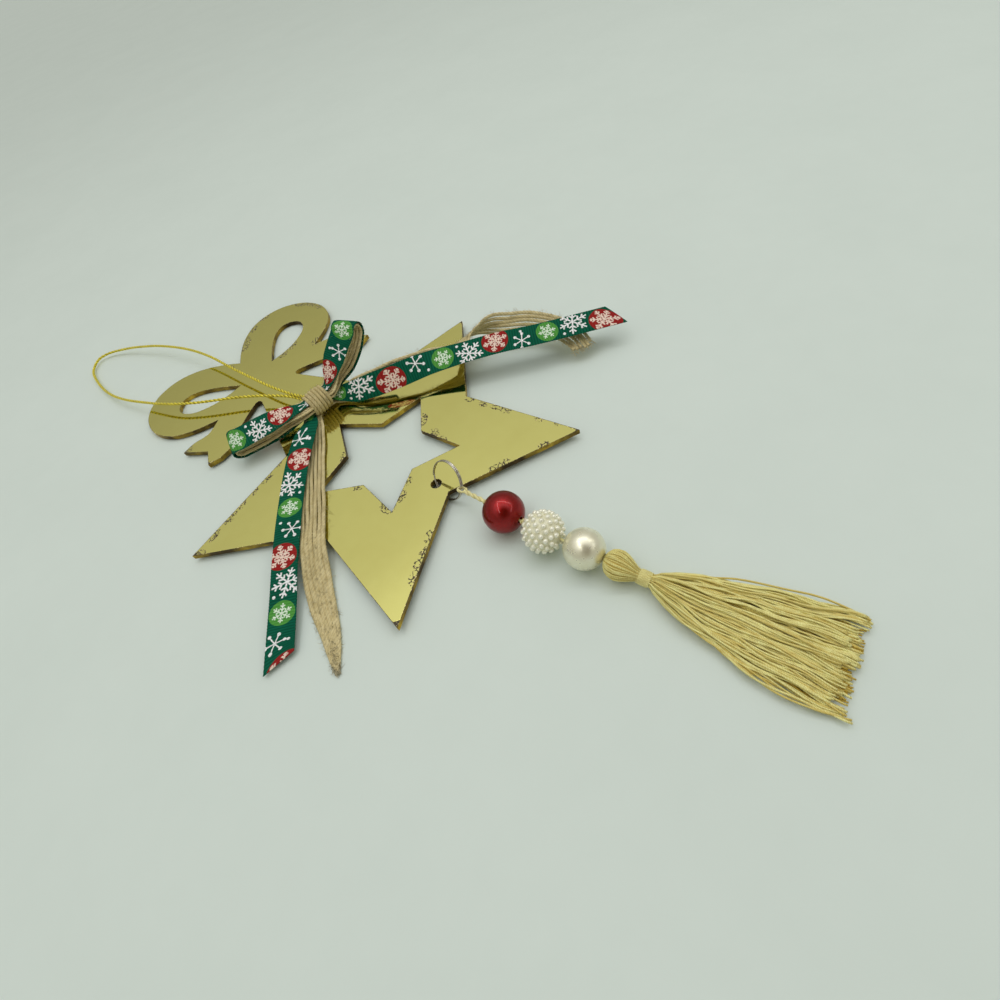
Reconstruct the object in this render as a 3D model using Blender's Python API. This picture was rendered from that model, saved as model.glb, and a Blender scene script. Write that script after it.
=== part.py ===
"""Acrylic star ornament, lying flat, at real size.

A star frame with a bow on its top point is cut from one mirror sheet. Ribbons are tied over the star,
and a string of beads with a tassel hangs from a ring in the star's lower inner corner.

Lengths below are millimetres. X runs across the star, +Y along its axis of symmetry towards the bow,
and +Z up. The star's own centre is the working zero. Last, everything is moved so that the origin
comes to the middle of the footprint, on the floor.
"""
from math import asin, cos, pi, radians, sin, sqrt

import bmesh
import bpy
from mathutils import Matrix, Vector

MM = 0.001

# Driving dimensions
STAR_RADIUS = 78.0
STAR_DIP_RADIUS = 40.5
STAR_HOLE_RADIUS = 30.1
STAR_HOLE_DIP_RADIUS = 16.2
STAR_HOLE_SHIFT = -4.4
SHEET = 2.0
BOW_HEIGHT = 60.4
BOW_OVERLAP = 4.4
RING_HOLE_DIAMETER = 4.0
RING_HOLE_MARGIN = 6.6
RIBBON_WIDTH = 10.0
GREEN_THICKNESS = 0.5
JUTE_THICKNESS = 1.0
LOOP_GAP = 0.55
LOOP_TURN = 3.8
LOOP_LEAD = 1.6
TURN_ASIDE = 0.5
KNOT_LENGTH = 10.0
KNOT_WIDTH = 12.0
KNOT_HEIGHT = 10.0
KNOT_WALL = 1.2
RING_RADIUS = 7.13
RING_WIRE = 0.62
CORD_DIAMETER = 1.1
STRING_DIAMETER = 1.0
EYE_CLEARANCE = 0.24
STRING_KNOT_RADIUS = 0.9
BEAD_BORE = 2.2
RED_BEAD = 14.0
CLUSTER_BEAD = 14.2
PEARL_BEAD = 13.0
PEARL_BUMP = 0.35
FIRST_BEAD_DROP = 18.7
KNOT_SPACE = 1.4
BEAD_SPACE = 0.2
TASSEL_SPACE = 1.1
TASSEL_NECK_RADIUS = 1.9
BINDING_THICKNESS = 0.7
GAP = 0.3

# The bow grows out of the star's top point, and the ring's hole keeps its margin to the lower inner corner
BOW_FOOT = STAR_RADIUS - BOW_OVERLAP
BOW_TOP = BOW_FOOT + BOW_HEIGHT
RING_HOLE_Y = RING_HOLE_MARGIN - STAR_DIP_RADIUS

# The ring lifts the sheet at its hole, while the bow's far edge stays on the floor
SHEET_LIFT = 1.7
SHEET_TILT = asin(SHEET_LIFT / (BOW_TOP - RING_HOLE_Y))

# The ring stands on the floor and leans along this axis; the sheet's middle meets its wire in the hole
RING_AXIS = Vector((-0.896, 0.03, 0.443)).normalized()
RING_STEEPNESS = sqrt(1 - RING_AXIS.z**2)
RING_HEIGHT = RING_RADIUS * RING_STEEPNESS + RING_WIRE / 2 * (1 + 0.9 * RING_AXIS.z) + 0.07
RING_DROP = RING_HEIGHT - SHEET_LIFT - SHEET / 2
RING_SLIDE = sqrt(RING_RADIUS**2 - (RING_DROP / RING_STEEPNESS) ** 2)
RING_LEAN = RING_DROP / RING_STEEPNESS * RING_AXIS.z
RING_SEAT = 0.17
RING_CENTRE = Vector((RING_LEAN, RING_HOLE_Y - RING_SLIDE + RING_SEAT, RING_HEIGHT))

# The beads lie on the floor in a row below the ring, and the tassel follows them
RED_CENTRE = Vector((2.7, RING_CENTRE.y - RING_RADIUS - FIRST_BEAD_DROP, RED_BEAD / 2))
CLUSTER_CENTRE = Vector((3.9, RED_CENTRE.y - (RED_BEAD + CLUSTER_BEAD) / 2 - KNOT_SPACE, CLUSTER_BEAD / 2))
PEARL_CENTRE = Vector((6.1, CLUSTER_CENTRE.y - (CLUSTER_BEAD + PEARL_BEAD) / 2 - BEAD_SPACE, PEARL_BEAD / 2))
TASSEL_TOP = Vector((7.3, PEARL_CENTRE.y - PEARL_BEAD / 2 - TASSEL_SPACE, 5.4))

# The knot lies on the sheet, near the star's upper arm
KNOT_HALF = Vector((KNOT_LENGTH, KNOT_WIDTH, KNOT_HEIGHT)) / 2
CORE_HALF = Vector((3.0, KNOT_HALF.y - KNOT_WALL - 0.5, KNOT_HALF.z - KNOT_WALL - 0.5))
KNOT_Y = 40.0
SHEET_TOP_AT_KNOT = SHEET + (BOW_TOP - KNOT_Y) * SHEET_TILT
KNOT_CENTRE = Vector((2.0, KNOT_Y, SHEET_TOP_AT_KNOT + GAP + KNOT_HALF.z))
ROOT_UPPER = 2.75
ROOT_LOWER = -1.35


def clear_scene():
    for item in list(bpy.data.objects):
        bpy.data.objects.remove(item, do_unlink=True)


def material(name, colour, roughness, metallic):
    made = bpy.data.materials.new(name)
    made.use_nodes = True
    shader = made.node_tree.nodes["Principled BSDF"]
    shader.inputs["Base Color"].default_value = (*colour, 1.0)
    shader.inputs["Roughness"].default_value = roughness
    shader.inputs["Metallic"].default_value = metallic
    made.diffuse_color = (*colour, 1.0)
    return made


def add_object(name, mesh, coat=None, smooth=False):
    item = bpy.data.objects.new(name, mesh)
    bpy.context.collection.objects.link(item)
    if coat:
        mesh.materials.append(coat)
    if smooth:
        mesh.shade_smooth()
        mesh.set_sharp_from_angle(angle=radians(40))
    return item


def mesh_from(name, verts, faces):
    """A mesh in metres from points in millimetres, its faces turned outwards."""
    mesh = bpy.data.meshes.new(name)
    mesh.from_pydata([Vector(v) * MM for v in verts], [], faces)
    build = bmesh.new()
    build.from_mesh(mesh)
    bmesh.ops.recalc_face_normals(build, faces=build.faces)
    build.to_mesh(mesh)
    build.free()
    return mesh


def spline(points, steps):
    """Points along a smooth curve through the given ones, ends included.

    Each point's direction comes from its two neighbours, and its speed from the length of the stretch."""
    points = [Vector(p) for p in points]
    last = len(points) - 1
    headings = [(points[min(n + 1, last)] - points[max(n - 1, 0)]).normalized() for n in range(last + 1)]
    found = []
    for n in range(last):
        start, end = points[n], points[n + 1]
        length = (end - start).length
        leave, arrive = headings[n] * length, headings[n + 1] * length
        for step in range(steps):
            t = step / steps
            found.append(start * (2 * t**3 - 3 * t**2 + 1) + leave * (t**3 - 2 * t**2 + t)
                         + end * (3 * t**2 - 2 * t**3) + arrive * (t**3 - t**2))
    return [*found, points[-1]]


def between(values, steps):
    """The values with steps even parts between each pair, ends included."""
    found = [a + (b - a) * (step / steps) for a, b in zip(values, values[1:]) for step in range(steps)]
    return [*found, values[-1]]


def polar(radius, degrees, shift=0.0):
    angle = radians(degrees)
    return Vector((radius * cos(angle), radius * sin(angle) + shift))


def mirrored(half):
    """A half outline on +X, from the axis to the axis, with its mirror image."""
    inner = [p for p in half if abs(p.x) > 1e-6]
    closing = [Vector((-p.x, p.y)) for p in reversed(inner)]
    return [half[0], *inner, half[-1], *closing]


def bow_points(*shares):
    """Points of the bow, given as shares of its height across from its axis and up from its foot."""
    return [Vector((across * BOW_HEIGHT, BOW_FOOT + up * BOW_HEIGHT)) for across, up in shares]


def star_half():
    """The right half of the sheet's outline, from the lower inner corner up to the bow's top notch."""
    arm_notch = spline(bow_points((0.172, 0.0), (0.182, 0.028), (0.212, 0.031)), 3)
    tail_inner_edge = spline(bow_points((0.212, 0.031), (0.298, -0.013), (0.414, -0.083), (0.571, -0.205)), 3)
    tail_end = bow_points((0.679, -0.219), (0.768, -0.192), (0.702, -0.066))
    tail_upper_edge = spline(bow_points((0.818, 0.111), (0.72, 0.123), (0.604, 0.104), (0.48, 0.169)), 3)
    loop = spline(bow_points((0.48, 0.169), (0.662, 0.263), (0.788, 0.382), (0.848, 0.545), (0.841, 0.689),
                             (0.785, 0.828), (0.654, 0.955), (0.497, 1.0), (0.348, 0.975), (0.202, 0.881),
                             (0.076, 0.74), (0.0, 0.627)), 4)
    return [polar(STAR_DIP_RADIUS, 270), polar(STAR_RADIUS, 306), polar(STAR_DIP_RADIUS, 342),
            polar(STAR_RADIUS, 18), polar(STAR_DIP_RADIUS, 54), *arm_notch, *tail_inner_edge[1:],
            *tail_end, *tail_upper_edge, *loop[1:]]


def star_opening():
    radii = (STAR_HOLE_RADIUS, STAR_HOLE_DIP_RADIUS)
    return [polar(radii[corner % 2], 90 + 36 * corner, STAR_HOLE_SHIFT) for corner in range(10)]


def bow_opening(side):
    """The teardrop hole in one loop of the bow; side is 1 or -1."""
    tear = spline(bow_points((0.159, 0.356), (0.238, 0.477), (0.325, 0.586), (0.401, 0.656), (0.477, 0.69),
                             (0.546, 0.675), (0.599, 0.608), (0.596, 0.523), (0.526, 0.435), (0.384, 0.369),
                             (0.265, 0.353), (0.159, 0.356)), 3)
    return [Vector((side * p.x, p.y)) for p in tear[:-1]]


def ring_opening():
    return [polar(RING_HOLE_DIAMETER / 2, 360 * step / 24, RING_HOLE_Y) for step in range(24)]


def sheet_to_floor():
    """Tips the flat sheet about the bow's far edge, so that the ring's wire fits under the other end."""
    hinge = Matrix.Translation(Vector((0, BOW_TOP, 0)) * MM)
    return hinge @ Matrix.Rotation(-SHEET_TILT, 4, "X") @ hinge.inverted()


def star_plate():
    build = bmesh.new()
    edges = []
    for loop in (mirrored(star_half()), star_opening(), bow_opening(1), bow_opening(-1), ring_opening()):
        verts = [build.verts.new((p.x * MM, p.y * MM, 0)) for p in loop]
        edges += [build.edges.new(pair) for pair in zip(verts, verts[1:] + verts[:1])]
    bmesh.ops.triangle_fill(build, use_beauty=True, use_dissolve=False, edges=edges)
    raised = bmesh.ops.extrude_face_region(build, geom=build.faces[:])["geom"]
    top = [item for item in raised if isinstance(item, bmesh.types.BMVert)]
    bmesh.ops.translate(build, vec=(0, 0, SHEET * MM), verts=top)
    bmesh.ops.recalc_face_normals(build, faces=build.faces)
    mesh = bpy.data.meshes.new("star_plate")
    build.to_mesh(mesh)
    build.free()
    plate = add_object("star_plate", mesh, material("gold mirror acrylic", (0.72, 0.62, 0.28), 0.08, 1.0))
    plate.matrix_world = sheet_to_floor()


def strip(rows, thickness, steps=4, slant=0.0):
    """Points and faces of a ribbon that runs through rows, as explained at the tails' rows.

    slant cuts its far end aslant by that length."""
    centres = spline([KNOT_CENTRE + Vector(row[0]) for row in rows], steps)
    acrosses = between([Vector(row[1]).normalized() for row in rows], steps)
    widths = between([row[2] for row in rows], steps)
    verts = []
    last = len(centres) - 1
    for place, centre in enumerate(centres):
        along = (centres[min(place + 1, last)] - centres[max(place - 1, 0)]).normalized()
        across = acrosses[place]
        across = (across - across.project(along)).normalized()
        facing = along.cross(across)
        for side, lift in ((-1, -1), (1, -1), (1, 1), (-1, 1)):
            corner = centre + side * across * widths[place] * RIBBON_WIDTH / 2 + facing * lift * thickness / 2
            if place == last:
                corner += side * slant * along
            verts.append(corner)
    faces = [(0, 1, 2, 3), tuple(4 * last + corner for corner in (3, 2, 1, 0))]
    for place in range(last):
        for corner in range(4):
            after = (corner + 1) % 4
            near, far = 4 * place, 4 * place + 4
            faces.append((near + corner, near + after, far + after, far + corner))
    return verts, faces


def rounded_block(centre, half_x, half_y, half_z, sides=20):
    """A short bar along X with an oval section."""
    verts = []
    for end in (-half_x, half_x):
        for side in range(sides):
            angle = 2 * pi * side / sides
            verts.append(centre + Vector((end, half_y * cos(angle), half_z * sin(angle))))
    faces = [tuple(range(sides)), tuple(range(2 * sides - 1, sides - 1, -1))]
    for side in range(sides):
        after = (side + 1) % sides
        faces.append((side, after, sides + after, sides + side))
    return verts, faces


def fused(name, shapes, coat):
    """One solid out of overlapping closed shapes, with the later ones as hidden guides."""
    base = add_object(name, mesh_from(name, *shapes[0]), coat)
    for number, shape in enumerate(shapes[1:], 1):
        guide = add_object(f"{name}_guide_{number}", mesh_from(f"{name}_guide_{number}", *shape))
        guide.hide_render = True
        guide.display_type = "WIRE"
        join = base.modifiers.new(f"join_{number}", "BOOLEAN")
        join.operation = "UNION"
        join.solver = "EXACT"
        join.object = guide
    return base


# Each tail runs away from the knot through these rows: centre from the knot's centre, direction across,
# and width as a share of the ribbon's
GREEN_TAIL_RIGHT = [
    ((2.0, 0.0, -2.2), (0.0, 1.0, 0.0), 0.44),
    ((6.2, -0.4, -2.1), (0.0, 1.0, 0.0), 0.48),
    ((9.0, -4.2, -1.5), (0.08, 0.93, 0.2), 0.68),
    ((12.5, -11.5, 0.1), (0.3, 0.6, 0.7), 0.9),
    ((18.5, -18.0, 1.5), (0.39, 0.45, 0.8), 1.0),
    ((26.2, -24.0, 2.3), (0.4, 0.5, 0.77), 1.0),
    ((37.5, -32.0, 3.2), (0.5, 0.7, 0.5), 1.0),
    ((48.8, -42.0, 3.9), (0.56, 0.78, 0.28), 1.0),
    ((59.9, -52.1, 4.3), (0.63, 0.72, 0.28), 1.0),
    ((71.7, -63.3, 3.8), (0.67, 0.7, 0.24), 1.0),
    ((96.8, -82.9, 1.9), (0.66, 0.71, 0.24), 1.0),
]
GREEN_TAIL_LEFT = [
    ((-2.0, 0.0, -2.2), (0.0, -1.0, 0.0), 0.44),
    ((-6.2, -0.8, -2.3), (0.0, -1.0, 0.0), 0.46),
    ((-9.4, -5.2, -2.3), (0.5, -0.8, 0.0), 0.66),
    ((-14.6, -10.0, -1.0), (0.78, -0.6, 0.0), 0.94),
    ((-21.6, -15.6, -1.3), (0.82, -0.56, 0.0), 1.0),
    ((-28.6, -21.8, -1.9), (0.83, -0.54, 0.0), 1.0),
    ((-36.5, -29.8, -2.5), (0.82, -0.56, 0.0), 1.0),
    ((-44.4, -38.8, -2.6), (0.74, -0.67, 0.0), 1.0),
    ((-50.6, -46.4, -2.6), (0.6, -0.8, 0.0), 1.0),
    ((-57.6, -54.2, -3.6), (0.5, -0.86, 0.0), 1.0),
    ((-64.4, -62.1, -4.9), (0.55, -0.83, 0.0), 1.0),
    ((-78.4, -78.6, -6.5), (0.55, -0.83, 0.0), 1.0),
]
JUTE_TAIL_RIGHT = [
    ((3.4, -0.4, -3.9), (0.0, 1.0, 0.0), 0.56),
    ((7.0, -1.4, -3.7), (0.0, 1.0, 0.1), 0.58),
    ((10.0, -5.0, -2.5), (0.05, 0.95, 0.3), 0.72),
    ((14.0, -10.3, -0.2), (0.3, 0.6, 0.7), 0.94),
    ((20.0, -16.6, 1.6), (0.39, 0.45, 0.8), 1.0),
    ((27.9, -22.1, 2.8), (0.4, 0.5, 0.77), 1.0),
    ((39.3, -29.9, 2.8), (0.5, 0.7, 0.5), 1.0),
    ((48.9, -36.0, 2.2), (0.5, 0.78, 0.1), 1.0),
    ((59.3, -33.8, 1.5), (0.4, 0.72, -0.57), 1.0),
    ((65.2, -35.6, 1.6), (0.18, 0.5, -0.85), 1.0),
    ((69.6, -39.4, 1.9), (-0.2, 0.05, -0.98), 1.0),
    ((72.5, -44.8, 2.1), (-0.5, -0.5, -0.7), 1.0),
    ((79.0, -53.0, 1.1), (-0.7, -0.3, -0.62), 1.0),
    ((82.6, -63.0, -0.7), (-0.9, 0.0, -0.4), 1.0),
    ((82.2, -72.5, -2.1), (-0.95, 0.2, -0.2), 1.0),
    ((79.4, -79.5, -3.3), (-0.9, 0.4, -0.1), 0.9),
]
JUTE_TAIL_LEFT = [
    ((-3.4, -0.4, -3.8), (0.0, -1.0, 0.0), 0.6),
    ((-6.0, -2.4, -3.8), (0.3, -0.95, 0.0), 0.7),
    ((-10.0, -7.4, -4.0), (0.8, -0.6, 0.0), 0.94),
    ((-15.8, -15.0, -4.2), (0.8, -0.6, 0.0), 1.0),
    ((-22.0, -23.2, -4.2), (0.8, -0.6, 0.0), 1.0),
    ((-28.3, -31.6, -4.1), (0.8, -0.6, 0.0), 1.0),
    ((-39.8, -47.4, -3.8), (0.82, -0.58, 0.0), 1.0),
    ((-44.6, -53.6, -3.7), (0.8, -0.6, 0.0), 1.0),
    ((-49.0, -59.8, -4.8), (0.82, -0.57, 0.0), 1.0),
    ((-53.2, -66.0, -6.7), (0.84, -0.54, 0.0), 1.0),
    ((-57.6, -74.2, -7.5), (0.88, -0.48, 0.0), 0.92),
    ((-61.0, -82.0, -7.7), (0.86, -0.5, 0.0), 0.74),
    ((-64.6, -89.0, -7.7), (0.8, -0.6, 0.0), 0.48),
    ((-68.2, -95.6, -7.7), (0.7, -0.7, 0.0), 0.16),
]
# Each loop: side of the knot, middle of its round end from the knot's centre, direction across there,
# how far its walls bow out, and how far the lower wall stands aside of the upper one
RIGHT_LOOP = (1, Vector((26.8, 1.6, 16.0)), Vector((0.5, -0.85, -0.15)), 0.8, 3.2)
LEFT_LOOP = (-1, Vector((-33.9, 12.1, -0.4)), Vector((-0.4, -0.76, -0.4)), 0.6, 0.0)


def loop_rows(side, tip, across, bulge, aside, root_width, reach, inset=0.0):
    """Rows of a loop: out of the knot along its upper wall, round its end and back into the knot.

    inset is how far they run inside the green ribbon's middle surface."""
    straight = Vector((0.0, -1.0, 0.0))
    middle = Vector((side * KNOT_HALF.x, 0.0, (ROOT_UPPER + ROOT_LOWER) / 2))
    out = tip - middle
    out = (out - out.project(across)).normalized()
    up = side * across.cross(out).normalized()
    turn = LOOP_TURN - inset
    walls = []
    for wall, height in ((1, ROOT_UPPER), (-1, ROOT_LOWER)):
        inside = Vector((side * reach, 0.0, height - wall * inset))
        inward = -wall * Vector((up.x, 0.0, up.z + 1.0)).normalized() * inset
        lead = Vector((side * (KNOT_HALF.x + LOOP_LEAD), 0.0, height)) + inward
        shoulder = tip + turn * (out * cos(radians(115)) + wall * up * sin(radians(115)))
        rows = [(inside, straight, root_width), (lead, straight, root_width)]
        beside = across * aside * (1 - wall) / 2
        for share, width, shift in ((0.28, 0.82, 0.15), (0.52, 1.0, 0.55), (0.78, 1.0, 0.7)):
            bowed = lead.lerp(shoulder, share) + wall * up * bulge * sin(pi * share) + beside * shift
            rows.append((bowed, straight.lerp(across, share**0.5), width))
        rows.append((shoulder + beside * TURN_ASIDE, across, 1.0))
        walls.append(rows)
    end = [(tip + turn * (out * cos(radians(angle)) + up * sin(radians(angle)))
            + across * aside * TURN_ASIDE * (115 - angle) / 230, across, 1.0)
           for angle in (75, 37, 0, -37, -75)]
    return [*walls[0], *end, *reversed(walls[1])]


def green_ribbon():
    reach = CORE_HALF.x - 1.0
    shapes = [
        rounded_block(KNOT_CENTRE, *CORE_HALF),
        strip(GREEN_TAIL_RIGHT, GREEN_THICKNESS, steps=3, slant=-3.0),
        strip(GREEN_TAIL_LEFT, GREEN_THICKNESS, steps=3, slant=-3.0),
        strip(loop_rows(*RIGHT_LOOP, 0.44, reach), GREEN_THICKNESS, steps=2),
        strip(loop_rows(*LEFT_LOOP, 0.44, reach), GREEN_THICKNESS, steps=2),
    ]
    return fused("green_ribbon", shapes, material("green grosgrain", (0.012, 0.11, 0.08), 0.8, 0.0))


def knot_band(sides=28):
    """The wrap of the knot: an oval sleeve along X."""
    verts = []
    for end in (-KNOT_HALF.x, KNOT_HALF.x):
        for inset in (0.0, KNOT_WALL):
            for side in range(sides):
                angle = 2 * pi * side / sides
                place = Vector((end, (KNOT_HALF.y - inset) * cos(angle), (KNOT_HALF.z - inset) * sin(angle)))
                verts.append(KNOT_CENTRE + place)
    faces = []
    for side in range(sides):
        after = (side + 1) % sides
        for first, second in ((0, 1), (1, 3), (3, 2), (2, 0)):
            faces.append((first * sides + side, first * sides + after,
                          second * sides + after, second * sides + side))
    return verts, faces


def jute_loop(loop, inset):
    """The jute layer of a loop, in two strips that lap at its round end."""
    root_width = 2 * (KNOT_HALF.y - KNOT_WALL / 2 - GAP) / RIBBON_WIDTH
    rows = loop_rows(*loop, root_width, CORE_HALF.x + 2 * GAP, inset)
    middle = len(rows) // 2
    back = [(centre, across, width - 0.01) for centre, across, width in rows[middle - 1:]]
    return [strip(rows[:middle + 2], JUTE_THICKNESS, steps=2), strip(back, JUTE_THICKNESS - 0.05, steps=2)]


def jute_ribbon():
    layer = GREEN_THICKNESS / 2 + LOOP_GAP + JUTE_THICKNESS / 2
    shapes = [
        knot_band(),
        strip(JUTE_TAIL_RIGHT, JUTE_THICKNESS, steps=3),
        strip(JUTE_TAIL_LEFT, JUTE_THICKNESS, steps=3),
        *jute_loop(RIGHT_LOOP, layer),
        *jute_loop(LEFT_LOOP, layer),
    ]
    return fused("jute_ribbon", shapes, material("jute", (0.42, 0.31, 0.16), 0.85, 0.0))


def frame_along(axis):
    """Two directions square to an axis and to each other."""
    helper = Vector((0, 0, 1)) if abs(axis.z) < 0.9 else Vector((0, 1, 0))
    first = axis.cross(helper).normalized()
    return first, axis.cross(first).normalized()


def turned(centre, axis, section, steps):
    """A closed section of (distance from axis, height) pairs turned about an axis."""
    first, second = frame_along(axis)
    verts = []
    for step in range(steps):
        angle = 2 * pi * step / steps
        outward = first * cos(angle) + second * sin(angle)
        verts += [centre + outward * radius + axis * height for radius, height in section]
    count = len(section)
    faces = []
    for step in range(steps):
        after = (step + 1) % steps
        for place in range(count):
            following = (place + 1) % count
            faces.append((step * count + place, step * count + following,
                          after * count + following, after * count + place))
    return verts, faces


def split_ring():
    """Two turns of wire side by side, joined along the line where they press together."""
    turn = RING_WIRE / 2
    beside = 0.9 * turn
    meeting = asin(beside / turn)
    upper = []
    for step in range(6):
        angle = -meeting + (pi + 2 * meeting) * step / 5
        upper.append((RING_RADIUS + turn * cos(angle), beside + turn * sin(angle)))
    lower = [(radius, -height) for radius, height in reversed(upper[1:-1])]
    mesh = mesh_from("split_ring", *turned(RING_CENTRE, RING_AXIS, upper + lower, 36))
    add_object("split_ring", mesh, material("steel wire", (0.45, 0.43, 0.38), 0.25, 1.0), smooth=True)


def circle(radius, centre=(0.0, 0.0), sides=8):
    return [(centre[0] + radius * cos(2 * pi * n / sides), centre[1] + radius * sin(2 * pi * n / sides))
            for n in range(sides)]


def rod(points, radius, sides=8):
    """A round bar through the points, closed at both ends."""
    last = len(points) - 1
    verts = []
    for place, point in enumerate(points):
        along = (points[min(place + 1, last)] - points[max(place - 1, 0)]).normalized()
        first, second = frame_along(along)
        verts += [point + first * x + second * y for x, y in circle(radius, sides=sides)]
    faces = [tuple(range(sides)), tuple(range(last * sides + sides - 1, last * sides - 1, -1))]
    for place in range(last):
        for side in range(sides):
            after = (side + 1) % sides
            faces.append((place * sides + side, place * sides + after,
                          (place + 1) * sides + after, (place + 1) * sides + side))
    return verts, faces


def ball(centre, radius):
    """A plain round knot."""
    build = bmesh.new()
    bmesh.ops.create_icosphere(build, subdivisions=2, radius=radius, matrix=Matrix.Translation(centre))
    build.verts.index_update()
    verts = [vert.co.copy() for vert in build.verts]
    faces = [tuple(vert.index for vert in face.verts) for face in build.faces]
    build.free()
    return verts, faces


def bead_string():
    """The thread from the ring to the tassel: an eye round the wire, a run through the beads, small knots."""
    hang = Vector((0.0, -1.0, 0.0))
    hang = (hang - hang.project(RING_AXIS)).normalized()
    wire = RING_CENTRE + hang * RING_RADIUS
    eye_radius = RING_WIRE * 1.4 + EYE_CLEARANCE + STRING_DIAMETER / 2
    eye_centre = wire + hang * (eye_radius - STRING_DIAMETER / 2 - RING_WIRE / 2 - EYE_CLEARANCE)
    eye = turned(eye_centre, hang.cross(RING_AXIS), circle(STRING_DIAMETER / 2, (eye_radius, 0.0)), 18)
    down = (TASSEL_TOP - PEARL_CENTRE).normalized()
    run = rod([eye_centre + hang * eye_radius, RED_CENTRE, CLUSTER_CENTRE, PEARL_CENTRE,
               TASSEL_TOP - down * GAP], STRING_DIAMETER / 2)
    step = (CLUSTER_CENTRE - RED_CENTRE).normalized()
    between_beads = (RED_CENTRE + step * RED_BEAD / 2 + CLUSTER_CENTRE - step * CLUSTER_BEAD / 2) / 2
    above_red = RED_CENTRE + (eye_centre - RED_CENTRE).normalized() * (RED_BEAD / 2 + 1.0)
    shapes = [run, eye, ball(between_beads, STRING_KNOT_RADIUS), ball(above_red, STRING_KNOT_RADIUS)]
    fused("bead_string", shapes, material("pale thread", (0.62, 0.52, 0.3), 0.6, 0.0))


def round_bead(name, centre, diameter, axis, coat):
    """A ball with a hole for the string."""
    radius = diameter / 2
    hole = BEAD_BORE / 2
    mouth = asin(hole / radius)
    section = []
    for step in range(11):
        angle = mouth + (pi - 2 * mouth) * step / 10
        section.append((radius * sin(angle), radius * cos(angle)))
    add_object(name, mesh_from(name, *turned(centre, axis, section, 20)), coat, smooth=True)


def cluster_bead():
    """The bead covered with tiny pearls: a ball with a bump for each, and a hole for the string."""
    axis = (PEARL_CENTRE - RED_CENTRE).normalized()
    turn = axis.to_track_quat("Z", "Y").to_matrix().to_4x4()
    build = bmesh.new()
    bmesh.ops.create_icosphere(build, subdivisions=3, radius=1.0)
    bumps = {tuple(round(value, 5) for value in vert.co) for vert in build.verts}
    finer = bmesh.new()
    bmesh.ops.create_icosphere(finer, subdivisions=4, radius=1.0)
    for vert in finer.verts:
        raised = tuple(round(value, 5) for value in vert.co) in bumps
        vert.co *= CLUSTER_BEAD / 2 - (0.0 if raised else PEARL_BUMP)
    build.free()
    finer.verts.index_update()
    place = Matrix.Translation(CLUSTER_CENTRE) @ turn
    verts = [place @ vert.co for vert in finer.verts]
    faces = [tuple(vert.index for vert in face.verts) for face in finer.faces]
    finer.free()
    name = "pearl_cluster_bead"
    pearls = material("seed pearls", (0.8, 0.74, 0.62), 0.25, 0.0)
    bead = add_object(name, mesh_from(name, verts, faces), pearls)
    reach = axis * CLUSTER_BEAD
    drill = add_object("cluster_drill", mesh_from("cluster_drill", *rod(
        [CLUSTER_CENTRE - reach, CLUSTER_CENTRE + reach], BEAD_BORE / 2, 16)))
    drill.hide_render = True
    drill.display_type = "WIRE"
    cut = bead.modifiers.new("bore", "BOOLEAN")
    cut.operation = "DIFFERENCE"
    cut.solver = "EXACT"
    cut.object = drill


# The tassel's rows: centre from its top, half width, half height
TASSEL_ROWS = [
    ((0.0, 0.0, 0.0), 0.9, 0.9),
    ((0.1, -0.8, -0.1), 2.9, 2.7),
    ((0.3, -2.4, -0.3), 4.3, 3.9),
    ((0.6, -4.6, -0.5), 4.7, 4.3),
    ((1.0, -7.0, -1.0), 3.6, 3.3),
    ((1.3, -8.7, -1.4), TASSEL_NECK_RADIUS, TASSEL_NECK_RADIUS),
    ((2.0, -13.5, -1.7), TASSEL_NECK_RADIUS, TASSEL_NECK_RADIUS),
    ((2.4, -15.4, -1.9), 3.3, 2.6),
    ((3.0, -18.8, -2.2), 5.2, 2.7),
    ((4.0, -24.4, -2.5), 7.2, 2.6),
    ((5.3, -32.4, -2.9), 9.3, 2.3),
    ((6.7, -40.9, -3.2), 10.9, 2.0),
    ((8.3, -50.4, -3.4), 12.2, 1.8),
    ((9.9, -59.9, -3.6), 13.3, 1.5),
    ((10.6, -64.4, -3.7), 13.4, 1.3),
]
TASSEL_POINTS = 32
TASSEL_GROOVE = 0.92


def tassel():
    """A closed bundle of threads with a groove between each two ridges."""
    rows = [(TASSEL_TOP + Vector(centre), wide, high) for centre, wide, high in TASSEL_ROWS]
    last = len(rows) - 1
    verts = []
    for place, (centre, wide, high) in enumerate(rows):
        along = rows[min(place + 1, last)][0] - rows[max(place - 1, 0)][0]
        across = along.cross(Vector((0.0, 0.0, 1.0))).normalized()
        for point in range(TASSEL_POINTS):
            angle = 2 * pi * point / TASSEL_POINTS
            groove = TASSEL_GROOVE if point % 2 else 1.0
            upward = Vector((0.0, 0.0, high * sin(angle)))
            verts.append(centre + groove * (across * wide * cos(angle) + upward))
    faces = [tuple(range(TASSEL_POINTS)),
             tuple(range(last * TASSEL_POINTS + TASSEL_POINTS - 1, last * TASSEL_POINTS - 1, -1))]
    for place in range(last):
        for point in range(TASSEL_POINTS):
            after = (point + 1) % TASSEL_POINTS
            near, far = place * TASSEL_POINTS, (place + 1) * TASSEL_POINTS
            faces.append((near + point, near + after, far + after, far + point))
    mesh = mesh_from("tassel", verts, faces)
    add_object("tassel", mesh, material("tassel thread", (0.66, 0.58, 0.38), 0.6, 0.0))


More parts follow.
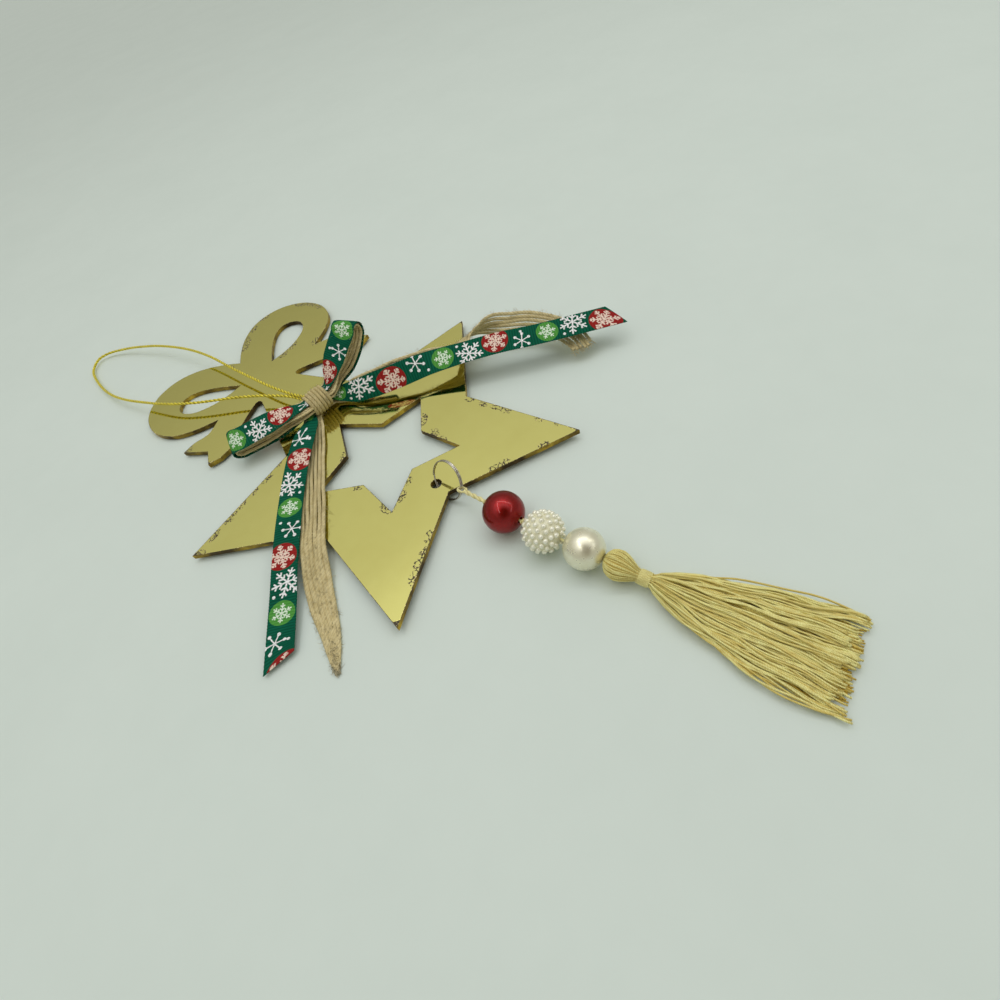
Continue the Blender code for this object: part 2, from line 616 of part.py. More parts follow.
def tassel_binding():
    """Thread wound round the tassel's neck: a sleeve with a ridge for each turn."""
    top, bottom = (TASSEL_TOP + Vector(TASSEL_ROWS[row][0]) for row in (5, 6))
    axis = (bottom - top).normalized()
    centre = (top + bottom) / 2
    half = (bottom - top).length / 2 - 2 * GAP
    inner = TASSEL_NECK_RADIUS + GAP
    outer = inner + BINDING_THICKNESS
    ridges = 4
    section = [(inner, half), (inner, -half)]
    for step in range(2 * ridges + 1):
        radius = outer if step % 2 else outer - 0.3
        section.append((radius, -half + 2 * half * step / (2 * ridges)))
    mesh = mesh_from("tassel_binding", *turned(centre, axis, section, 18))
    add_object("tassel_binding", mesh, material("binding thread", (0.6, 0.45, 0.2), 0.5, 0.0))


# The cord's route from the knot's centre: up past the bow, round and back to the knot
CORD_ROUTE = [
    (-2.0, 6.6, 0.7), (-3.8, 16.7, -0.3), (-5.8, 29.6, -0.3), (-7.2, 45.2, -0.3),
    (-8.4, 62.5, -0.3), (-9.5, 82.7, -0.3), (-12.0, 102.2, -1.3), (-16.3, 119.7, -2.3),
    (-22.1, 135.6, -3.3), (-32.1, 155.4, -5.3), (-42.5, 165.0, -6.3), (-50.1, 159.5, -6.8),
    (-53.3, 148.2, -6.8), (-54.3, 127.8, -6.3), (-51.7, 107.7, -4.3), (-44.8, 84.9, -2.3),
    (-39.4, 71.4, -1.3), (-33.4, 61.4, -1.3), (-27.1, 52.6, -1.3), (-20.6, 44.4, -1.3),
    (-14.6, 35.6, -1.3), (-9.3, 26.4, -1.3), (-4.6, 16.5, -1.3), (-2.5, 7.0, -1.1),
]


def hanging_cord():
    curve = bpy.data.curves.new("hanging_cord", "CURVE")
    curve.dimensions = "3D"
    run = curve.splines.new("POLY")
    points = [KNOT_CENTRE + point for point in spline(CORD_ROUTE, 3)]
    run.points.add(len(points) - 1)
    for slot, point in zip(run.points, points):
        slot.co = (*(point * MM), 1.0)
    curve.bevel_depth = CORD_DIAMETER / 2 * MM
    curve.bevel_resolution = 2
    curve.use_fill_caps = True
    cord = bpy.data.objects.new("hanging_cord", curve)
    bpy.context.collection.objects.link(cord)
    curve.materials.append(material("gold cord", (0.55, 0.42, 0.16), 0.4, 0.6))
    return cord


def centre_on_footprint(apart):
    """Moves everything so that the origin lies under the middle of all pieces but those in apart."""
    view = bpy.context.evaluated_depsgraph_get()
    corners = []
    for item in bpy.data.objects:
        if not item.hide_render and item not in apart:
            corners += [item.matrix_world @ Vector(corner) for corner in item.evaluated_get(view).bound_box]
    middle = [(min(c[axis] for c in corners) + max(c[axis] for c in corners)) / 2 for axis in (0, 1)]
    move = Matrix.Translation((-middle[0], -middle[1], 0.0))
    for item in bpy.data.objects:
        item.matrix_world = move @ item.matrix_world


def main():
    clear_scene()
    star_plate()
    green_ribbon()
    jute_ribbon()
    split_ring()
    bead_string()
    along_string = (CLUSTER_CENTRE - RED_CENTRE).normalized()
    round_bead("red_bead", RED_CENTRE, RED_BEAD, along_string,
               material("metallic red", (0.5, 0.02, 0.02), 0.2, 0.6))
    cluster_bead()
    round_bead("pearl_bead", PEARL_CENTRE, PEARL_BEAD, (TASSEL_TOP - CLUSTER_CENTRE).normalized(),
               material("ivory pearl", (0.82, 0.76, 0.64), 0.25, 0.0))
    tassel()
    tassel_binding()
    cord = hanging_cord()
    centre_on_footprint(apart=[cord])


main()
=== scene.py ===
import random
from collections import Counter
from math import asin, atan2, ceil, cos, pi, radians, sin, sqrt

import bmesh
import bpy
import numpy as np
from mathutils import Matrix, Vector
from mathutils.geometry import delaunay_2d_cdt


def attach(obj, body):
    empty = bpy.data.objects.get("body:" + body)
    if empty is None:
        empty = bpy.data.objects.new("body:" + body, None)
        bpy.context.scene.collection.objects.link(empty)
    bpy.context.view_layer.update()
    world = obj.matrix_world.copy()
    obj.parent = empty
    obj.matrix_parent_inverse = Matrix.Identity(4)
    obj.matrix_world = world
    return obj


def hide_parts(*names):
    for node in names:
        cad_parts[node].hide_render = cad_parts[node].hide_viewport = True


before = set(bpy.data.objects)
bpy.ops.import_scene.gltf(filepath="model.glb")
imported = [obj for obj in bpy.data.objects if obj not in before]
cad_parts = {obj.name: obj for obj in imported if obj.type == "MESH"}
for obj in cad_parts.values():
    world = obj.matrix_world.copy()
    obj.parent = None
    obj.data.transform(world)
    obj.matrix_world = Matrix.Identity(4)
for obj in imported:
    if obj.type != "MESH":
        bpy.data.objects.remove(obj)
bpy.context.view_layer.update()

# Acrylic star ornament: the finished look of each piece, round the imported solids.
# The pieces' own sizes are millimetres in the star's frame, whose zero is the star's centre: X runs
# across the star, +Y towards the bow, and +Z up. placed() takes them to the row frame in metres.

MM = 0.001
FOOTPRINT_SHIFT = np.array((-8.65424, 17.13533, 0.0))
TO_ROW_FRAME = Matrix.Scale(MM, 4) @ Matrix.Translation(Vector(FOOTPRINT_SHIFT))
UP = np.array((0.0, 0.0, 1.0))

# The sheet: its star, the star's opening, the bow above it and the ring's hole
SHEET_THICKNESS = 2.0
TIP_RADIUS = 78.0
DIP_RADIUS = 40.5
OPENING_RADII = (30.1, 16.2)
OPENING_Y = -4.4
BOW_TOP = 134.0
BOW_FOOT = 73.6
BOW_HEIGHT = BOW_TOP - BOW_FOOT
RING_HOLE_RADIUS = 2.0
RING_HOLE_Y = -33.9
RING_LIFT = 1.7
SHEET_TILT = asin(RING_LIFT / (BOW_TOP - RING_HOLE_Y))

# The knot and the ribbons
KNOT = Vector((2.0, 40.0, 8.2518))
KNOT_HALF = Vector((5.0, 6.0, 5.0))
RIBBON_WIDTH = 10.0
RIB_PITCH = 1.1
PRINT_CELL = 11.15
JUTE_CORDS = 6
JUTE_PITCH = 4.4

# Both loops: where the walls leave the knot, how far they run straight out, and the round end
ROOT_UPPER = 2.75
ROOT_LOWER = -1.35
LOOP_LEAD = 1.6
LOOP_TURN = 3.8
SHOULDER_ANGLE = 115
TURN_ASIDE = 0.5
JUTE_INSET = 1.3
GREEN_REACH = 2.0
JUTE_REACH = 3.6

# The ring, the string and the beads
RING_CENTRE = Vector((2.0733, -39.1090, 6.8958))
RING_AXIS = Vector((-0.896, 0.03, 0.443)).normalized()
RING_RADIUS = 7.13
RING_WIRE = 0.62
RED_CENTRE = Vector((2.7, -64.939, 7.0))
RED_RADIUS = 7.0
CLUSTER_CENTRE = Vector((3.9, -80.439, 7.1))
CLUSTER_RADIUS = 7.08
PEARL_CENTRE = Vector((6.1, -94.239, 6.5))
PEARL_RADIUS = 6.5
TASSEL_TOP = Vector((7.3, -101.839, 5.4))

# The pitches of the twisted threads
CORD_PITCH = 4.4
STRING_PITCH = 5.2
SILK_PITCH = 1.3
HEAD_PITCH = 1.9
BINDING_PITCH = 1.2


# Camera and light

CAMERA_PLACE = (-0.062104, -0.136925, 0.14738)
CAMERA_RIGHT = Vector((0.6431, -0.7343, -0.2173)).normalized()
CAMERA_AHEAD = Vector((0.331, 0.5224, -0.7858))
LAMP_HEIGHT = 0.7
TUBE_WIDTH = 0.055
ROOM_STRENGTH = 1.25
# The room's light by direction, from straight below to straight above
ROOM_LIGHT = [
    (0.0, (0.36, 0.37, 0.35)), (0.42, (0.337, 0.333, 0.274)), (0.5, (0.401, 0.397, 0.347)),
    (0.63, (0.52, 0.52, 0.493)), (0.77, (0.639, 0.639, 0.629)), (0.83, (0.85, 0.86, 0.87)),
    (1.0, (1.0, 1.0, 1.0)),
]
DIM_SIDE = (-0.331, -0.522, 0.786)
DIM_LIGHT = (0.11, 0.09, 0.05)


def camera():
    """The photograph's view."""
    lens = bpy.data.cameras.new("camera")
    lens.sensor_width = 36.0
    lens.lens = 19.606
    lens.clip_start = 0.005
    view = bpy.data.objects.new("camera", lens)
    bpy.context.collection.objects.link(view)
    ahead = (CAMERA_AHEAD - CAMERA_AHEAD.project(CAMERA_RIGHT)).normalized()
    turn = Matrix((CAMERA_RIGHT, CAMERA_RIGHT.cross(ahead), -ahead)).transposed()
    view.matrix_world = Matrix.Translation(CAMERA_PLACE) @ turn.to_4x4()
    bpy.context.scene.camera = view


def soft_tube(name, start, end, power):
    """A long diffuser overhead, between two places in the room's plan."""
    lamp = bpy.data.lights.new(name, "AREA")
    lamp.shape = "RECTANGLE"
    lamp.size, lamp.size_y = (Vector(end) - Vector(start)).length, TUBE_WIDTH
    lamp.energy = power
    held = bpy.data.objects.new(name, lamp)
    bpy.context.collection.objects.link(held)
    held.rotation_euler = (0.0, 0.0, atan2(end[1] - start[1], end[0] - start[0]))
    held.location = ((start[0] + end[0]) / 2, (start[1] + end[1]) / 2, LAMP_HEIGHT)


def room_light():
    """A pale studio: brightest overhead, and dim on the side where the camera stands."""
    world = bpy.data.worlds.new("studio")
    bpy.context.scene.world = world
    world.use_nodes = True
    tree = world.node_tree
    way = node(tree, "ShaderNodeTexCoord")["Generated"]
    light = ramp(node(tree, "ShaderNodeSeparateXYZ", {0: way})["Z"], ROOM_LIGHT)
    near = node(tree, "ShaderNodeVectorMath", {0: way, 1: DIM_SIDE}, operation="DOT_PRODUCT")["Value"]
    back = tree.nodes["Background"]
    feed(blend(spread(near, 0.77, 0.95), light, DIM_LIGHT), back.inputs["Color"])
    back.inputs["Strength"].default_value = ROOM_STRENGTH


# Node building

def sum_node(operation, swapped=False):
    """A plain sum of two values, made as a node."""
    return lambda one, other: calc(operation, other, one) if swapped else calc(operation, one, other)


class Value:
    """What a node puts out. Plain sums with it add nodes, and value["Name"] is the node's other output."""

    __add__ = __radd__ = sum_node("ADD")
    __mul__ = __rmul__ = sum_node("MULTIPLY")
    __sub__ = sum_node("SUBTRACT")
    __rsub__ = sum_node("SUBTRACT", swapped=True)
    __truediv__ = sum_node("DIVIDE")
    __rtruediv__ = sum_node("DIVIDE", swapped=True)
    __mod__ = sum_node("FLOORED_MODULO")
    __pow__ = sum_node("POWER")
    __lt__ = sum_node("LESS_THAN")
    __gt__ = sum_node("GREATER_THAN")

    def __init__(self, socket):
        self.socket = socket
        self.tree = socket.id_data

    def __abs__(self):
        return calc("ABSOLUTE", self)

    def __getitem__(self, label):
        return Value(self.socket.node.outputs[label])


def feed(value, socket):
    """Joins a socket to a value, or sets it to a number or a colour."""
    if isinstance(value, Value):
        socket.id_data.links.new(value.socket, socket)
    elif socket.type == "RGBA":
        socket.default_value = (*value, 1.0)
    else:
        socket.default_value = value


def node(tree, kind, inputs=None, **settings):
    """A new node with its settings and inputs, as its first output."""
    made = tree.nodes.new(kind)
    for name, value in settings.items():
        setattr(made, name, value)
    for place, value in (inputs or {}).items():
        feed(value, made.inputs[place])
    return Value(made.outputs[0])


def calc(operation, *values):
    """A sum of numbers and values, at least one of them a value."""
    tree = next(value.tree for value in values if isinstance(value, Value))
    return node(tree, "ShaderNodeMath", dict(enumerate(values)), operation=operation)


def blend(share, first, second):
    """Two colours mixed by a share."""
    return node(share.tree, "ShaderNodeMix", {0: share, 6: first, 7: second}, data_type="RGBA")[2]


def ramp(value, stops):
    """A colour for each value, read from stops."""
    made = node(value.tree, "ShaderNodeValToRGB", {0: value})
    line = made.socket.node.color_ramp
    while len(line.elements) < len(stops):
        line.elements.new(0.5)
    for element, (place, colour) in zip(line.elements, stops):
        element.position = place
        element.color = (*colour, 1.0)
    return made


def spread(value, low, high, to_low=0.0, to_high=1.0):
    """A value moved from one range to another and held inside it."""
    return node(value.tree, "ShaderNodeMapRange", {0: value, 1: low, 2: high, 3: to_low, 4: to_high})


def noise(place, scale, detail=2.0, rough=0.5):
    """Soft random patches, so many to each unit of place."""
    return node(place.tree, "ShaderNodeTexNoise",
                {"Vector": place, "Scale": scale, "Detail": detail, "Roughness": rough})


def stretch(place, factors):
    """A place with each of its axes multiplied."""
    return node(place.tree, "ShaderNodeVectorMath", {0: place, 1: factors}, operation="MULTIPLY")


def laid_out(tree):
    """Millimetres along a strip or thread, and the place across or round it."""
    parts = node(tree, "ShaderNodeSeparateXYZ", {0: node(tree, "ShaderNodeUVMap", uv_map="length")})
    return parts["X"], parts["Y"]


def attribute(tree, name):
    """A value that the mesh holds for each point."""
    return node(tree, "ShaderNodeAttribute", attribute_name=name)["Fac"]


# Shared effects

NUMBER, COLOUR, PLACE = "NodeSocketFloat", "NodeSocketColor", "NodeSocketVector"


def new_group(name, inputs, outputs):
    """A group of nodes: its tree, the values that it is given and the sockets for its results."""
    tree = bpy.data.node_groups.new(name, "ShaderNodeTree")
    for in_out, sockets in (("INPUT", inputs), ("OUTPUT", outputs)):
        for label, kind in sockets.items():
            tree.interface.new_socket(name=label, in_out=in_out, socket_type=kind)
    given = tree.nodes.new("NodeGroupInput").outputs
    return tree, [Value(given[label]) for label in inputs], tree.nodes.new("NodeGroupOutput").inputs


def mottle_group():
    """Two shades of a colour in soft patches, with fine speckle."""
    tree, (place, size, light, dark), result = new_group(
        "mottle", {"Place": PLACE, "Size": NUMBER, "Light": COLOUR, "Dark": COLOUR}, {"Color": COLOUR})
    patches = noise(place, 1.0 / size, 3.0) * 0.7 + noise(place, 6.0 / size) * 0.3
    feed(blend(spread(patches, 0.35, 0.65), dark, light), result["Color"])
    return tree


def twist_group():
    """The slanting ridges of twisted plies: their height, and a mask for painted shade in the grooves between
    them.
    """
    tree, (along, around, pitch, plies), result = new_group(
        "twist", {"Along": NUMBER, "Around": NUMBER, "Pitch": NUMBER, "Plies": NUMBER},
        {"Height": NUMBER, "Groove_Shade": NUMBER})
    ridge = abs(calc("SINE", (around + along / pitch) * plies * pi))
    feed(ridge, result["Height"])
    feed(spread(ridge, 0.5, 0.0), result["Groove_Shade"])
    return tree


def fibre_group():
    """Fine fibres that run along a thread or a strip."""
    tree, (along, across, length, width), result = new_group(
        "fibre", {"Along": NUMBER, "Across": NUMBER, "Length": NUMBER, "Width": NUMBER},
        {"Height": NUMBER, "Shade": NUMBER})
    fibres = noise(node(tree, "ShaderNodeCombineXYZ", {0: along / length, 1: across / width}), 1.0, 3.0, 0.6)
    feed(fibres, result["Height"])
    feed(spread(fibres, 0.3, 0.7), result["Shade"])
    return tree


def print_group():
    """The ribbon's print: discs with snowflakes, stars with round tips, loose snowflakes and dots."""
    inks = ("Ground", "Red", "Leaf", "Snow", "Blush", "Mint")
    tree, (along, across, ground, red_ink, leaf_ink, snow, blush, mint), result = new_group(
        "snowflake_print", {"Along": NUMBER, "Across": NUMBER, **{ink: COLOUR for ink in inks}},
        {"Color": COLOUR, "Ink": NUMBER})
    cells = along / PRINT_CELL
    index = calc("FLOOR", cells)
    kind = index % 4.0
    local = (cells - index - 0.5) * PRINT_CELL
    first_half = index % 8.0 < 3.5
    across = across * (2.0 * first_half - 1.0)
    kinds = [calc("COMPARE", kind, float(number), 0.1) for number in range(4)]
    red, star, leaf, loose = kinds

    def pick(*values):
        """A number for a red disc, a star, a green disc and a loose snowflake, in that order."""
        parts = [mask * value for mask, value in zip(kinds, values) if value]
        return sum(parts[1:], parts[0])

    def far(x, y):
        """The distance of a place from zero."""
        return calc("SQRT", x**2.0 + y**2.0)

    middle = pick(-1.1, 1.7, 0.0, -1.5)
    distance = far(local, across - middle)
    angle = calc("ARCTAN2", across - middle, local)
    folded = calc("PINGPONG", angle + pick(0.25, 0.4, 0.1, 0.3), pi / 6)
    reach = distance / pick(5.1, 3.9, 3.7, 6.0)
    x, y = reach * calc("COSINE", folded), reach * calc("SINE", folded)
    stroke = pick(0.056, 0.058, 0.066, 0.054)
    shape = (y < stroke) * (x < pick(1.0, 0.86, 1.0, 1.0))
    lean, flake = pi / 3.4, 1.0 - star
    twigs = ((0.34, 0.3, flake), (0.64, 0.28, flake), (0.84, 0.16, red), (0.22, 0.16, red))
    for base, length, where in twigs:
        run = (x - base) * cos(lean) + y * sin(lean)
        off = abs(y * cos(lean) - (x - base) * sin(lean))
        twig = (off < stroke) * (run > 0.0) * (run < length)
        shape = calc("MAXIMUM", shape, twig * where)
    shape = calc("MAXIMUM", shape, star * (far(x - 0.86, y) < 0.17))
    for mask, dot_x, dot_y in ((star, 4.3 * first_half, -2.9), (loose, -4.6, 3.3)):
        shape = calc("MAXIMUM", shape, mask * (far(local - dot_x, across - dot_y) < 0.62))
    disc = distance < pick(5.55, 0.0, 4.7, 0.0)
    colour = blend(disc, ground, blend(leaf, red_ink, leaf_ink))
    feed(blend(shape, colour, blend(leaf, blend(red, snow, blush), mint)), result["Color"])
    feed(calc("MAXIMUM", disc, shape), result["Ink"])
    return tree


MOTTLE, TWIST, FIBRE, PRINT = mottle_group(), twist_group(), fibre_group(), print_group()


# Finishes

BLACK = (0.0, 0.0, 0.0)


class Finish:
    """A material in the making, with places on the object in millimetres."""

    def __init__(self, name):
        self.material = bpy.data.materials.new(name)
        self.material.use_nodes = True
        self.tree = self.material.node_tree
        self.place = stretch(node(self.tree, "ShaderNodeTexCoord")["Object"], (1 / MM, 1 / MM, 1 / MM))

    def use(self, group, **inputs):
        """A shared effect with its values for this finish."""
        return node(self.tree, "ShaderNodeGroup", inputs, node_tree=group)

    def mottle(self, size, light, dark):
        """Two shades in patches of about this size."""
        return self.use(MOTTLE, Place=self.place, Size=size, Light=light, Dark=dark)

    def fibres(self, along, across, length, width):
        """Fine fibres of about this length and width."""
        return self.use(FIBRE, Along=along, Across=across, Length=length, Width=width)

    def done(self, colour, rough, height, depth, **constants):
        """Joins the colour, roughness and relief to the shader, and sets its plain values."""
        shader = self.tree.nodes["Principled BSDF"]
        bump = node(self.tree, "ShaderNodeBump", {"Strength": 1.0, "Distance": depth * MM, "Height": height})
        inputs = {"Base Color": colour, "Roughness": rough, "Normal": bump, **constants}
        for label, value in inputs.items():
            feed(value, shader.inputs[label.replace("_", " ")])
        return self.material


def gold_mirror():
    """The mirror face: gold, nearly flat, with flaked dark lines near its edges, a thin painted shadow line
    along every edge, and fine scratches.
    """
    face = Finish("gold_mirror")
    place = face.place
    edge, flaked = attribute(face.tree, "edge_distance"), attribute(face.tree, "flaking")
    bent = node(face.tree, "ShaderNodeVectorMath", {0: place, 1: noise(place, 0.9)["Color"]}, operation="ADD")
    net = node(face.tree, "ShaderNodeTexVoronoi", {"Vector": bent, "Scale": 0.62}, feature="DISTANCE_TO_EDGE")
    broken_line = (net["Distance"] < 0.12) * (noise(place, 1.1, 3.0) > 0.44)
    patch = flaked + noise(place, 0.35) * 0.35 > 0.54
    crackle = broken_line * patch * (edge < flaked * 4.4)
    ragged = spread(noise(place, 1.9, 4.0, 0.7), 0.48, 0.75) * 1.1
    # The dark mask holds real flaking and, through its 0.14 mm term, a thin painted shadow line along every
    # edge.
    dark = calc("MAXIMUM", crackle, edge < ragged * (flaked + 0.1) + 0.14)
    gold = face.mottle(30.0, (0.68, 0.64, 0.212), (0.65, 0.605, 0.192))
    bare = blend(noise(place, 1.9) > 0.6, (0.05, 0.034, 0.01), (0.9, 0.76, 0.3))
    spot = node(face.tree, "ShaderNodeSeparateXYZ", {0: place})
    scratch = face.fibres(spot["X"], spot["Y"], 40.0, 0.6)
    rough = dark * 0.4 + spread(scratch["Shade"], 0.0, 1.0, 0.045, 0.075)
    relief = noise(place, 0.035, 1.0) - dark * 0.05
    return face.done(blend(dark, gold, bare), rough, relief, 0.12, Metallic=1.0 - dark * 0.92)


def cut_edge():
    """The laser-cut wall of the sheet: dark brown, with painted amber highlights in patches, and fine upright
    marks.
    """
    wall = Finish("cut_edge")
    # Painted highlight: amber patches of light blended over the dark brown wall.
    painted_glow = spread(noise(wall.place, 0.05, 3.0), 0.42, 0.62)
    amber = wall.mottle(2.5, (0.72, 0.52, 0.06), (0.36, 0.23, 0.03))
    scorched = wall.mottle(3.0, (0.1, 0.062, 0.015), (0.035, 0.022, 0.006))
    marks = noise(stretch(wall.place, (4.0, 4.0, 0.3)), 1.0)
    rough = spread(marks, 0.3, 0.7, 0.3, 0.5)
    return wall.done(blend(painted_glow, scorched, amber), rough, marks, 0.05, Specular_IOR_Level=0.12)


def sheet_back():
    """The painted back of the sheet."""
    back = Finish("sheet_back")
    grain = noise(back.place, 3.0, 3.0)
    paint = back.mottle(12.0, (0.3, 0.27, 0.2), (0.24, 0.215, 0.16))
    return back.done(paint, spread(grain, 0.3, 0.7, 0.45, 0.6), grain, 0.04)


def grosgrain(printed):
    """Ribbed green ribbon: its printed face or its plain back."""
    weave = Finish("printed_grosgrain" if printed else "plain_grosgrain")
    along, across = laid_out(weave.tree)
    colour = weave.mottle(9.0, (0.005, 0.135, 0.075), (0.003, 0.108, 0.058))
    ribs = calc("COSINE", along * (2 * pi / RIB_PITCH))
    threads = weave.fibres(across, along, 1.2, 0.14)
    # Painted shade: the colour is darkened towards black in the valleys between the ribs, less where the
    # print lies.
    rib_groove_shade = spread(ribs, -1.0, 0.2, 0.42, 0.0)
    ink = 0.0
    if printed:
        colour = weave.use(PRINT, Along=along, Across=across, Ground=colour, Red=(0.37, 0.022, 0.02),
                           Leaf=(0.1, 0.37, 0.065), Snow=(1.0, 1.0, 1.0), Blush=(0.98, 0.76, 0.64),
                           Mint=(0.82, 0.98, 0.78))
        ink = colour["Ink"]
        rib_groove_shade = rib_groove_shade * spread(ink, 0.0, 1.0, 1.0, 0.6)
    shaded = blend(threads["Shade"] * 0.12, blend(rib_groove_shade, colour, BLACK), BLACK)
    rough = spread(ink * 0.3 + threads["Shade"], 0.0, 1.3, 0.8, 0.6)
    return weave.done(shaded, rough, ribs * 0.5 + threads["Height"], 0.06, Specular_IOR_Level=0.06)


def jute_yarn(name, light, dark):
    """Dull, hairy three-ply yarn."""
    yarn = Finish(name)
    along, around = laid_out(yarn.tree)
    twist = yarn.use(TWIST, Along=along, Around=around, Pitch=JUTE_PITCH, Plies=3.0)
    fibres = yarn.fibres(along, around, 3.0, 0.05)
    strand = spread(attribute(yarn.tree, "shade"), 0.0, 1.5, 0.0, 0.85)
    toned = blend(strand, yarn.mottle(2.4, light, dark), dark)
    # Painted shade: the grooves between the plies are darkened towards dark brown.
    toned = blend(twist["Groove_Shade"] * 0.3, toned, (0.16, 0.11, 0.05))
    toned = blend(fibres["Shade"] * 0.25, toned, dark)
    rough = spread(fibres["Shade"], 0.0, 1.0, 0.75, 0.95)
    return yarn.done(toned, rough, twist["Height"] + fibres["Height"], 0.12, Specular_IOR_Level=0.08)


def shiny_yarn(name, light, dark, pitch, rough, metallic, groove_shade=0.8, depth=0.1):
    """Shiny two-ply thread: light ridges, painted shade in the grooves and on threads by their shade value,
    and fine filaments.
    """
    yarn = Finish(name)
    along, around = laid_out(yarn.tree)
    twist = yarn.use(TWIST, Along=along, Around=around, Pitch=pitch, Plies=2.0)
    filaments = yarn.fibres(along, around, 1.4, 0.06)
    speckled = yarn.mottle(2.0, light, Vector(light).lerp(Vector(dark), 0.35))
    # Painted shade: the grooves between the plies are darkened, and so is each thread by its shade value.
    toned = blend(twist["Groove_Shade"] * groove_shade, speckled, dark)
    toned = blend(attribute(yarn.tree, "shade") * 0.7, toned, dark)
    matt = spread(filaments["Shade"], 0.0, 1.0, rough, rough + 0.12)
    return yarn.done(toned, matt, twist["Height"] + filaments["Height"] * 0.5, depth, Metallic=metallic)


def steel_wire():
    """Drawn bright wire."""
    wire = Finish("steel_wire")
    colour = wire.mottle(1.6, (0.72, 0.69, 0.6), (0.4, 0.36, 0.29))
    drawn = wire.fibres(*laid_out(wire.tree), 6.0, 0.08)
    rough = spread(drawn["Shade"], 0.0, 1.0, 0.16, 0.34)
    return wire.done(colour, rough, drawn["Height"], 0.02, Metallic=1.0)


def red_lacquer():
    """Clear red lacquer over a fine metallic ground."""
    lacquer = Finish("red_lacquer")
    colour = lacquer.mottle(0.9, (0.33, 0.007, 0.006), (0.24, 0.004, 0.004))
    flecks = spread(noise(lacquer.place, 9.0), 0.3, 0.7, 0.24, 0.36)
    return lacquer.done(colour, flecks, noise(lacquer.place, 0.4), 0.02, Metallic=0.9,
                        Specular_Tint=(0.5, 0.1, 0.08), Coat_Weight=0.7, Coat_Roughness=0.02, Coat_IOR=1.45)


def nacre(name, light, dark, metallic, rough):
    """Pearl lacquer: a soft silvery lustre under a clear skin."""
    pearl = Finish(name)
    cloud = noise(pearl.place, 0.6, 3.0)
    soft = spread(cloud, 0.3, 0.7, rough, rough + 0.08)
    return pearl.done(pearl.mottle(2.2, light, dark), soft, cloud, 0.02, Metallic=metallic,
                      Coat_Weight=0.3, Coat_Roughness=0.2)


def pale_floor():
    """A plain painted floor."""
    paint = Finish("pale_floor")
    colour = paint.mottle(60.0, (0.705, 0.79, 0.735), (0.685, 0.77, 0.715))
    return paint.done(colour, 0.62, noise(paint.place, 1.2, 3.0), 0.02)


# Shapes

def placed(points):
    """Points of the star's frame in millimetres, moved to the row frame in metres."""
    return (np.asarray(points, float) + FOOTPRINT_SHIFT) * MM


def spline(points, steps):
    """Points along a smooth curve through the given ones, ends included, as for the solids."""
    points = [Vector(p) for p in points]
    last = len(points) - 1
    headings = [(points[min(n + 1, last)] - points[max(n - 1, 0)]).normalized() for n in range(last + 1)]
    found = []
    for n in range(last):
        start, end = points[n], points[n + 1]
        length = (end - start).length
        leave, arrive = headings[n] * length, headings[n + 1] * length
        for step in range(steps):
            t = step / steps
            found.append(start * (2 * t**3 - 3 * t**2 + 1) + leave * (t**3 - 2 * t**2 + t)
                         + end * (3 * t**2 - 2 * t**3) + arrive * (t**3 - t**2))
    return [*found, points[-1]]


def between(values, steps):
    """Values in even steps from each given one to the next."""
    found = [a + (b - a) * (step / steps) for a, b in zip(values, values[1:]) for step in range(steps)]
    return [*found, values[-1]]


def unit(rows):
    """Directions of length one."""
    rows = np.asarray(rows, float)
    return rows / np.maximum(np.linalg.norm(rows, axis=-1, keepdims=True), 1e-12)


def heading(line):
    """The direction of a line at each of its points."""
    return unit(np.gradient(line, axis=0))


def run_of(line):
    """The length along a line at each of its points."""
    return np.concatenate([[0.0], np.cumsum(np.linalg.norm(np.diff(line, axis=0), axis=1))])


def read_at(values, run, marks):
    """Values given along a run, read at marks on it."""
    values = np.asarray(values, float)
    columns = values.reshape(len(values), -1).T
    found = np.stack([np.interp(marks, run, column) for column in columns], axis=1)
    return found.reshape(-1, *values.shape[1:])


def even(line, spacing, *others):
    """A line with even spacing, the length along it, and other values along it."""
    run = run_of(line)
    marks = np.linspace(0.0, run[-1], max(2, ceil(run[-1] / spacing) + 1))
    return [read_at(line, run, marks), marks, *(read_at(other, run, marks) for other in others)]


def square_to(axis):
    """Two directions square to an axis and to each other."""
    first = axis.cross(Vector((0, 0, 1))).normalized()
    return first, axis.cross(first).normalized()


def wound(centre, axis, radii, angles, lifts):
    """Points that go round an axis, each at its own radius and lifted along the axis."""
    first, second = (np.array(side) for side in square_to(axis))
    spokes = np.cos(angles)[:, None] * first + np.sin(angles)[:, None] * second
    line = np.array(centre) + np.reshape(radii, (-1, 1)) * spokes
    return line + np.reshape(lifts, (-1, 1)) * np.array(axis)


